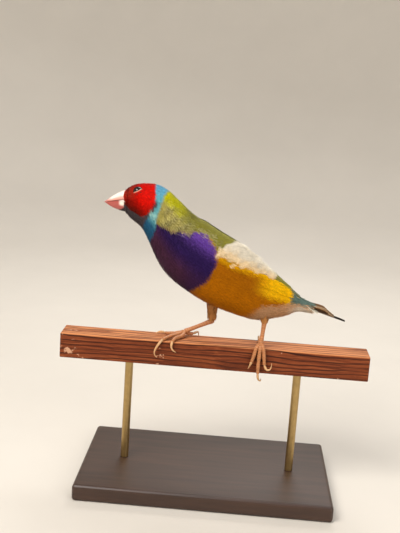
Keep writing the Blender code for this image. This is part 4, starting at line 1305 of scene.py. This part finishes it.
def leaf_width(share, broadest, tip):
    """A vane's half width as a share of its greatest: a firm root, a broad middle and a rounded tip."""
    rise = 0.55 + 0.45 * np.sin(math.pi / 2 * np.minimum(share / broadest, 1.0))
    beyond = np.clip((share - broadest) / (1.0 - broadest), 0.0, 1.0)
    fall = tip + (1.0 - tip) * np.sqrt(np.maximum(0.0, 1.0 - beyond**2.4))
    return np.where(share <= broadest, rise, fall)


def vane_mesh():
    """An empty bmesh with the layers that vanes need."""
    bm = bmesh.new()
    bm.verts.layers.float_color.new("plumage")
    bm.loops.layers.uv.new("Vane")
    return bm


def add_vane(bm, rows, normals, tint, edge_tint):
    """One feather vane from rows of points across it, with a raised shaft, made a thin closed leaf."""
    tint_layer, vane_layer = bm.verts.layers.float_color["plumage"], bm.loops.layers.uv["Vane"]
    count, across = rows.shape[:2]
    verts = bmesh.ops.create_grid(bm, x_segments=across - 1, y_segments=count - 1, size=0.5)["verts"]
    verts.sort(key=lambda vert: (round(vert.co.y, 5), round(vert.co.x, 5)))
    shares = np.linspace(-1, 1, across)
    faces = list(dict.fromkeys(face for vert in verts for face in vert.link_faces))
    where = {vert: divmod(k, across) for k, vert in enumerate(verts)}
    for vert, (i, j) in where.items():
        vert.co = to_model(rows[i, j])
        share = i / (count - 1)
        colour = blend(tint(share), edge_tint(share), past(abs(shares[j]), 0.86, 0.2))
        vert[tint_layer] = (*np.clip(colour, 0, 1), 1.0)
    for face in faces:
        face.smooth = True
        for loop in face.loops:
            i, j = where[loop.vert]
            loop[vane_layer].uv = (0.5 + shares[j] / 2, i / (count - 1))
    middle = faces[len(faces) // 2]
    middle.normal_update()
    i, j = where[middle.verts[0]]
    if middle.normal.dot(Vector(normals[i, j])) < 0:
        bmesh.ops.reverse_faces(bm, faces=faces)
    bmesh.ops.solidify(bm, geom=faces, thickness=VANE_THICKNESS * MM)


# The wing's tiers: stations of the roots and tips of the top and the bottom vane, how far down the wing they
# are, their height over the body, its rise towards the tip, and the vane's outline
VANES = {
    "primary": {
        "count": 7, "root": (9.9, 10.4), "tip": (14.75, 13.2),
        "root_down": (0.5, 0.9), "tip_down": (0.28, 0.9), "height": (0.0, -0.3), "rise": 0.25,
        "width": 3.4, "broadest": 0.45, "tip_share": 0.2,
    },
    "secondary": {
        "count": 7, "root": (9.0, 9.2), "tip": (13.6, 12.0),
        "root_down": (0.12, 0.86), "tip_down": (0.18, 0.88), "height": (0.25, 0.0), "rise": 0.12,
        "width": 4.6, "broadest": 0.6, "tip_share": 0.3,
    },
    "greater_covert": {
        "count": 9, "root": (7.9, 8.0), "tip": (10.4, 10.5),
        "root_down": (0.08, 0.94), "tip_down": (0.1, 0.92), "height": (0.32, 0.15), "rise": 0.1,
        "width": 3.8, "broadest": 0.6, "tip_share": 0.3,
    },
    "median_covert": {
        "count": 9, "root": (7.0, 7.1), "tip": (8.9, 8.9),
        "root_down": (0.06, 0.96), "tip_down": (0.06, 0.94), "height": (0.3, 0.2), "rise": 0.14,
        "width": 3.6, "broadest": 0.6, "tip_share": 0.35,
    },
    "lesser_covert": {
        "count": 9, "root": (6.4, 6.5), "tip": (7.9, 7.9),
        "root_down": (0.05, 0.97), "tip_down": (0.05, 0.95), "height": (0.2, 0.1), "rise": 0.2,
        "width": 3.4, "broadest": 0.6, "tip_share": 0.4,
    },
}


def wing_upper(place):
    return np.radians(np.interp(place, (WING_START, WING_END), WING_UPPER))


def wing_lower(place):
    share = np.clip((place - WING_START) / (WING_END - WING_START), 0, 1)
    return np.radians(LOWER_EDGE(share * (len(WING_LOWER) - 1)))


def vane_material(name, roughness):
    """Feather vanes with fine slanted barbs either side of the shaft."""
    finish = Finish(name)
    uv = put_node(finish.tree, "ShaderNodeUVMap", uv_map="Vane").outputs["UV"]
    split = put_node(finish.tree, "ShaderNodeSeparateXYZ", {"Vector": uv})
    aside = finish.maths("ABSOLUTE", finish.maths("SUBTRACT", split.outputs["X"], 0.5))
    slant = finish.maths("MULTIPLY", aside, -70.0)
    barb = finish.maths("SINE", finish.maths("MULTIPLY_ADD", split.outputs["Y"], 330.0, slant))
    shaft = finish.ranged(aside, 0.0, 0.05, 0.55, 1.0)
    ripple = finish.ranged(barb, -1.0, 1.0, 0.9, 1.06)
    tint, _ = finish.tinted(finish.attribute("plumage"), 500.0, 0.16)
    shade = finish.scaled(tint, finish.maths("MULTIPLY", shaft, ripple))
    finish.shade(Base_Color=shade, Roughness=roughness, Specular_IOR_Level=0.05)
    finish.bumped(barb, 0.15, 0.03 * MM)
    return finish.material


def wing_vane(tier, number, side):
    """Points of one vane, counted from the top of its tier, and the directions out there."""
    share = number / (tier["count"] - 1)

    def between(key):
        return tier[key][0] + (tier[key][1] - tier[key][0]) * share

    ends = [between(key) for key in ("root", "tip")]
    down = [between(key) for key in ("root_down", "tip_down")]
    starts = [wing_upper(p) + (wing_lower(p) - wing_upper(p)) * d for p, d in zip(ends, down)]
    along = np.linspace(0, 1, 13)[:, None]
    out = np.linspace(-1, 1, 7)[None, :]
    place = ends[0] + (ends[1] - ends[0]) * along + 0 * out
    angle = starts[0] + (starts[1] - starts[0]) * along + 0 * out
    half = tier["width"] / 2 * leaf_width(along, tier["broadest"], tier["tip_share"])
    girth = np.linalg.norm(slopes(bare_form, place, side * angle)[1], axis=-1)
    low, high = wing_upper(place) + 0.01, wing_lower(place) - 0.01
    angle = np.clip(angle + out * half / girth, low + 0.02 * out, high + 0.02 * out)
    level = between("height") + tier["rise"] * along
    level = level - 1.0 * np.clip(1.0 - along / 0.3, 0.0, 1.0)
    level = level + 0.12 * np.exp(-((out / 0.12) ** 2)) - 0.25 * out**2 + 0.05 * (number % 2)
    return raised(bare_form, place, side * angle, level), outward(bare_form, place, side * angle)


class FINCH_OT_wings(bpy.types.Operator):
    """The folded wings, their vanes in overlapping tiers"""

    bl_idname = "finch.wings"
    bl_label = "Wings"

    def execute(self, context):
        umber, olive, lime, white = palette("umber", "olive", "lime", "white")
        green = blend(olive, lime, 0.12)
        primary = blend(umber, olive, 0.45)
        primary_edge = blend(blend(olive, white, 0.45), white, 0.4)
        secondary_edge = blend(blend(olive, lime, 0.4), white, 0.3)
        tints = {
            "primary": (lambda s: primary, lambda s: primary_edge),
            "secondary": (lambda s: blend(olive, umber, 0.3 - 0.25 * s), lambda s: secondary_edge),
            "greater_covert": (lambda s: green, lambda s: green * 1.15),
            "median_covert": (lambda s: green * 0.95, lambda s: green * 1.1),
            "lesser_covert": (lambda s: green, lambda s: green * 1.1),
        }
        material = vane_material("Wing vanes", 0.5)
        for side_name, side in SIDES.items():
            bm = vane_mesh()
            for key, tier in VANES.items():
                for number in range(tier["count"]):
                    add_vane(bm, *wing_vane(tier, number, side), *tints[key])
            name = f"wing_feathers_{side_name}"
            linked(name, to_mesh(name, bm), material, (f"wing_{side_name}",))
        return {"FINISHED"}


TAIL_ROOT = 15.3
TAIL_TIP = (62.8, 0.0, 15.7)
# Each pair of tail feathers as a share of the tail's length, from the middle outwards
RECTRICES = (1.0, 0.72, 0.66, 0.6, 0.55, 0.5)
# Width, where it is broadest, how blunt the tip is, how far it droops, and its start behind the tail's root
TAIL_SHAPES = {
    "pin": (2.2, 0.3, 0.12, 0.0, 0.0),
    "feather": (3.4, 0.75, 0.4, 0.0, 0.0),
    "covert_above": (3.2, 0.7, 0.4, 1.2, -0.5),
    "covert_below": (3.4, 0.7, 0.4, -1.3, -0.5),
}


class FINCH_OT_tail(bpy.types.Operator):
    """The narrow tail with its two long pins, and the coverts over and under it"""

    bl_idname = "finch.tail"
    bl_label = "Tail"

    def execute(self, context):
        umber, tan, turquoise, white = palette("umber", "tan", "turquoise", "white")
        grey_green = blend(tan, turquoise, 0.5)
        root = (bare_form(TAIL_ROOT, 0.0) + bare_form(TAIL_ROOT, math.pi)) / 2
        along = unit(np.array(TAIL_TIP) - root)
        across = np.array((0.0, -1.0, 0.0))
        up = unit(np.cross(along, across))
        length = np.linalg.norm(np.array(TAIL_TIP) - root)
        bm = vane_mesh()

        def tail_vane(shape, reach, lateral, level, fan, roof, tints):
            """Adds a vane, moved aside and up, turned out like a fan and tilted like a roof, in degrees."""
            width, broadest, tip_share, droop, start = TAIL_SHAPES[shape]
            fan, roof = math.radians(fan), math.radians(roof)
            turned = along * math.cos(fan) + across * math.sin(fan)
            aside = across * math.cos(fan) - along * math.sin(fan)
            flat = aside * math.cos(roof) - up * math.sin(roof)
            normal = aside * math.sin(roof) + up * math.cos(roof)
            share = np.linspace(0, 1, 15)[:, None, None]
            out = np.linspace(-1, 1, 7)[None, :, None]
            half = width / 2 * leaf_width(share, broadest, tip_share)
            height = level - droop * share**2
            middle = root + turned * (start + reach * share) + across * lateral + up * height
            shaft = 0.14 * np.exp(-((out / 0.12) ** 2)) - 0.2 * out**2
            points = middle + flat * half * out + normal * shaft
            add_vane(bm, points, np.broadcast_to(normal, points.shape), *tints)

        pin = (lambda s: blend(grey_green * 0.6, umber * 0.2, past(s, 0.5, 0.3)), lambda s: umber * 0.25)
        grey = (lambda s: blend(grey_green, umber, 0.6 * past(s, 0.8, 0.4)), lambda s: grey_green * 1.3)
        brown = (lambda s: umber, lambda s: blend(umber, tan, 0.4))
        blue = (lambda s: blend(turquoise, grey_green, past(s, 0.3, 0.5)), lambda s: grey_green * 1.25)
        buff = (lambda s: white * 0.9, lambda s: white)
        for i, share in enumerate(RECTRICES):
            shape, tints = ("pin", pin) if i == 0 else ("feather", grey if i < 4 else brown)
            for side in (-1, 1):
                level = 0.5 - 0.27 * i + 0.05 * side
                lateral, fan, roof = side * (0.45 + 0.42 * i), side * (0.2 + i), side * (8.0 + 7.0 * i)
                tail_vane(shape, length * share, lateral, level, fan, roof, tints)
        for i in (-2, -1, 0, 1, 2):
            level = 1.6 - 0.24 * i * i + 0.05 * (i % 2)
            tail_vane("covert_above", 6.0 - abs(i), i * 1.4, level, i * 1.5, i * 16, blue)
        for reach, height in ((8.5, -1.5), (5.0, -2.1)):
            for i in (-1.5, -0.5, 0.5, 1.5):
                level = height + 0.3 * i * i + 0.05 * (i % 1.0)
                tail_vane("covert_below", reach - abs(i), i * 1.8, level, i * 1.2, -i * 14, buff)
        material = vane_material("Tail vanes", 0.45)
        linked("tail_feathers", to_mesh("tail_feathers", bm), material, ("tail",))
        return {"FINISHED"}


GRAIN_COLOURS = ((0.36, (76, 32, 14)), (0.45, (104, 47, 20)), (0.53, (122, 58, 27)), (0.64, (144, 78, 41)))


def perch_material():
    """Red-brown wood with long grain and dark veins, painted lighter in patches along its top where the light
    falls, and scuffed.
    """
    finish = Finish("Perch wood")
    where = put_node(finish.tree, "ShaderNodeTexCoord").outputs["Object"]
    drift = finish.scaled(finish.noise(where, 45.0, 2.0, output="Color"), 0.0035)
    moved = put_node(finish.tree, "ShaderNodeVectorMath", {0: where, 1: drift}, operation="ADD").outputs[0]
    grain = finish.noise(finish.mapped(moved, (30.0, 900.0, 1150.0)), 1.0, 7.0, 0.62)
    broad = finish.mapped(moved, (14.0, 160.0, 210.0))
    patches = finish.noise(broad, 1.0, 3.0)
    streaks = finish.maths("MULTIPLY_ADD", grain, 0.7, finish.maths("MULTIPLY", patches, 0.3))
    ramp = put_node(finish.tree, "ShaderNodeValToRGB", {"Fac": streaks})
    stops = ramp.color_ramp.elements
    stops[0].position, stops[1].position = GRAIN_COLOURS[0][0], GRAIN_COLOURS[-1][0]
    for position, _ in GRAIN_COLOURS[1:-1]:
        stops.new(position)
    for stop, (_, colour) in zip(stops, GRAIN_COLOURS):
        stop.color = (*paint(*colour), 1.0)

    # Painted light: the top face and the upper edge of the sides made lighter in patches.
    top = PERCH_TOP * MM
    height = put_node(finish.tree, "ShaderNodeSeparateXYZ", {"Vector": where}).outputs["Z"]
    on_top = finish.ranged(height, top - 0.7 * MM, top - 0.3 * MM)
    bare = finish.ranged(finish.noise(broad, 2.2, 4.0), 0.3, 0.5)
    painted_top_light = finish.maths("MULTIPLY", on_top, bare)
    shade = finish.mixed(painted_top_light, ramp.outputs["Color"], (*paint(196, 126, 78), 1.0))

    waves = put_node(
        finish.tree,
        "ShaderNodeTexWave",
        {
            "Vector": finish.mapped(where, (0.22, 1.0, 1.0), (0.6, 0.0, 0.0)),
            "Scale": 165.0,
            "Distortion": 11.0,
            "Detail": 3.0,
            "Detail Scale": 0.4,
        },
        bands_direction="Z",
    )
    vein = finish.ranged(waves.outputs["Fac"], 0.02, 0.3, 1.5, 0.0)
    shade = finish.mixed(finish.maths("MULTIPLY", vein, patches), shade, (*paint(40, 14, 5), 1.0))

    scuffs = finish.maths("MULTIPLY", finish.noise(where, 330.0, 5.0), finish.noise(where, 60.0, 1.0))
    shade = finish.mixed(finish.ranged(scuffs, 0.4, 0.44), shade, (*paint(196, 148, 116), 1.0))
    finish.shade(Base_Color=shade, Roughness=0.7, Specular_IOR_Level=0.2)
    finish.bumped(grain, 0.5, 0.3 * MM)
    return finish.material


class FINCH_OT_perch_and_stand(bpy.types.Operator):
    """Wood for the square perch, metal for the rods and dark wood for the base"""

    bl_idname = "finch.perch_and_stand"
    bl_label = "Perch and stand"

    def execute(self, context):
        wood = plain_material("Base wood", paint(58, 38, 28), 60.0, 0.35, 0.4, 0.1, (0.4, 4.0, 4.0))
        brass = plain_material("Rod brass", paint(176, 148, 98), 400.0, 0.1, 0.35, 0.1, metallic=1.0)
        finishes = {
            "perch": perch_material(), "stand_base": wood, "stand_rod_front": brass, "stand_rod_back": brass,
        }
        for node, finish in finishes.items():
            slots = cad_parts[node].data.materials
            slots.clear()
            slots.append(finish)
        return {"FINISHED"}


def camera_axes(stage):
    """The camera's right, up and back directions in the model's frame."""
    azimuth, elevation, roll = stage.azimuth, stage.elevation, stage.roll
    level = Vector((math.cos(azimuth), math.sin(azimuth), 0.0))
    flat = math.cos(elevation)
    back = Vector((math.sin(azimuth) * flat, -math.cos(azimuth) * flat, math.sin(elevation)))
    rise = back.cross(level)
    right = level * math.cos(roll) + rise * math.sin(roll)
    up = rise * math.cos(roll) - level * math.sin(roll)
    return right, up, back


def area_light(name, target, offset, size, power, colour):
    """A round lamp that stands off the target and shines on it."""
    lamp = bpy.data.lights.new(name, "AREA")
    lamp.shape, lamp.size, lamp.energy, lamp.color = "DISK", size, power, colour
    obj = bpy.data.objects.new(name, lamp)
    obj.location = target + Vector(offset)
    obj.rotation_euler = (obj.location - target).to_track_quat("Z", "Y").to_euler()
    bpy.context.scene.collection.objects.link(obj)


# The floor's profile from its middle outwards, in metres: flat, then a round rise to a low wall
BOWL = ((0.0, 0.0), (0.6, 0.0), (0.76, 0.025), (0.89, 0.11), (0.97, 0.25), (1.0, 0.42), (1.0, 1.2))


class FINCH_OT_stage(bpy.types.Operator):
    """Pale floor, soft lights and the camera"""

    bl_idname = "finch.stage"
    bl_label = "Stage"

    def execute(self, context):
        stage = context.scene.finch_stage
        right, up, back = camera_axes(stage)
        bm = bmesh.new()
        line = [bm.verts.new((x, 0.0, z)) for x, z in BOWL]
        edges = [bm.edges.new(pair) for pair in zip(line, line[1:])]
        bmesh.ops.spin(
            bm, geom=line + edges, cent=(0, 0, 0), axis=(0, 0, 1), angle=2 * math.pi, steps=96, use_merge=True
        )
        bmesh.ops.remove_doubles(bm, verts=bm.verts, dist=1e-5)
        bmesh.ops.recalc_face_normals(bm, faces=bm.faces)
        if next(iter(bm.faces)).normal.z < 0:
            bmesh.ops.reverse_faces(bm, faces=bm.faces)
        floor = bpy.data.objects.new("floor", to_mesh("floor", bm))
        context.scene.collection.objects.link(floor)
        floor.data.materials.append(plain_material("Floor", stage.floor, 12.0, 0.02, 0.85, 0.05))
        target = Vector(stage.target)
        warm, cool = (1.0, 0.97, 0.93), (0.93, 0.96, 1.0)
        area_light("key", target, (-0.32, -0.42, 0.55), 0.45, stage.key_power, warm)
        area_light("fill", target, (0.5, -0.5, 0.25), 0.6, stage.fill_power, cool)
        area_light("rim", target, (0.1, 0.45, 0.5), 0.4, stage.fill_power * 1.2, (1.0, 1.0, 1.0))
        world = bpy.data.worlds.new("Studio")
        world.use_nodes = True
        background = world.node_tree.nodes["Background"]
        background.inputs["Color"].default_value = (0.9, 0.93, 1.0, 1.0)
        background.inputs["Strength"].default_value = 0.45
        context.scene.world = world
        context.scene.view_settings.view_transform = "Standard"
        lens = bpy.data.cameras.new("camera")
        lens.lens, lens.sensor_width, lens.clip_start = stage.lens, 36.0, 0.01
        camera = bpy.data.objects.new("camera", lens)
        pose = Matrix((right, up, back)).transposed().to_4x4()
        pose.translation = target + back * stage.distance
        camera.matrix_world = pose
        context.scene.collection.objects.link(camera)
        context.scene.camera = camera
        return {"FINISHED"}


STEPS = (
    FINCH_OT_stage, FINCH_OT_skin, FINCH_OT_head_coat, FINCH_OT_neck_coat, FINCH_OT_breast_coat,
    FINCH_OT_belly_coat, FINCH_OT_flank_plumes, FINCH_OT_wings, FINCH_OT_tail, FINCH_OT_bill, FINCH_OT_eyes,
    FINCH_OT_thighs, FINCH_OT_legs, FINCH_OT_perch_and_stand,
)


class FINCH_PT_panel(bpy.types.Panel):
    """The finch's sizes, colours and steps"""

    bl_label = "Gouldian Finch"
    bl_idname = "FINCH_PT_panel"
    bl_space_type = "VIEW_3D"
    bl_region_type = "UI"
    bl_category = "Finch"

    def draw(self, context):
        for step in STEPS:
            self.layout.operator(step.bl_idname)
        for settings in (context.scene.finch_sizes, context.scene.finch_colours, context.scene.finch_stage):
            box = self.layout.box()
            for key in settings.__annotations__:
                box.prop(settings, key)


CLASSES = (FinchColours, FinchSizes, StageSettings, *STEPS, FINCH_PT_panel)


def register():
    for cls in CLASSES:
        bpy.utils.register_class(cls)
    bpy.types.Scene.finch_colours = bpy.props.PointerProperty(type=FinchColours)
    bpy.types.Scene.finch_sizes = bpy.props.PointerProperty(type=FinchSizes)
    bpy.types.Scene.finch_stage = bpy.props.PointerProperty(type=StageSettings)


def unregister():
    del bpy.types.Scene.finch_stage
    del bpy.types.Scene.finch_sizes
    del bpy.types.Scene.finch_colours
    for cls in reversed(CLASSES):
        bpy.utils.unregister_class(cls)


def main():
    register()
    for step in STEPS:
        family, action = step.bl_idname.split(".")
        getattr(getattr(bpy.ops, family), action)()


if __name__ == "__main__":
    main()
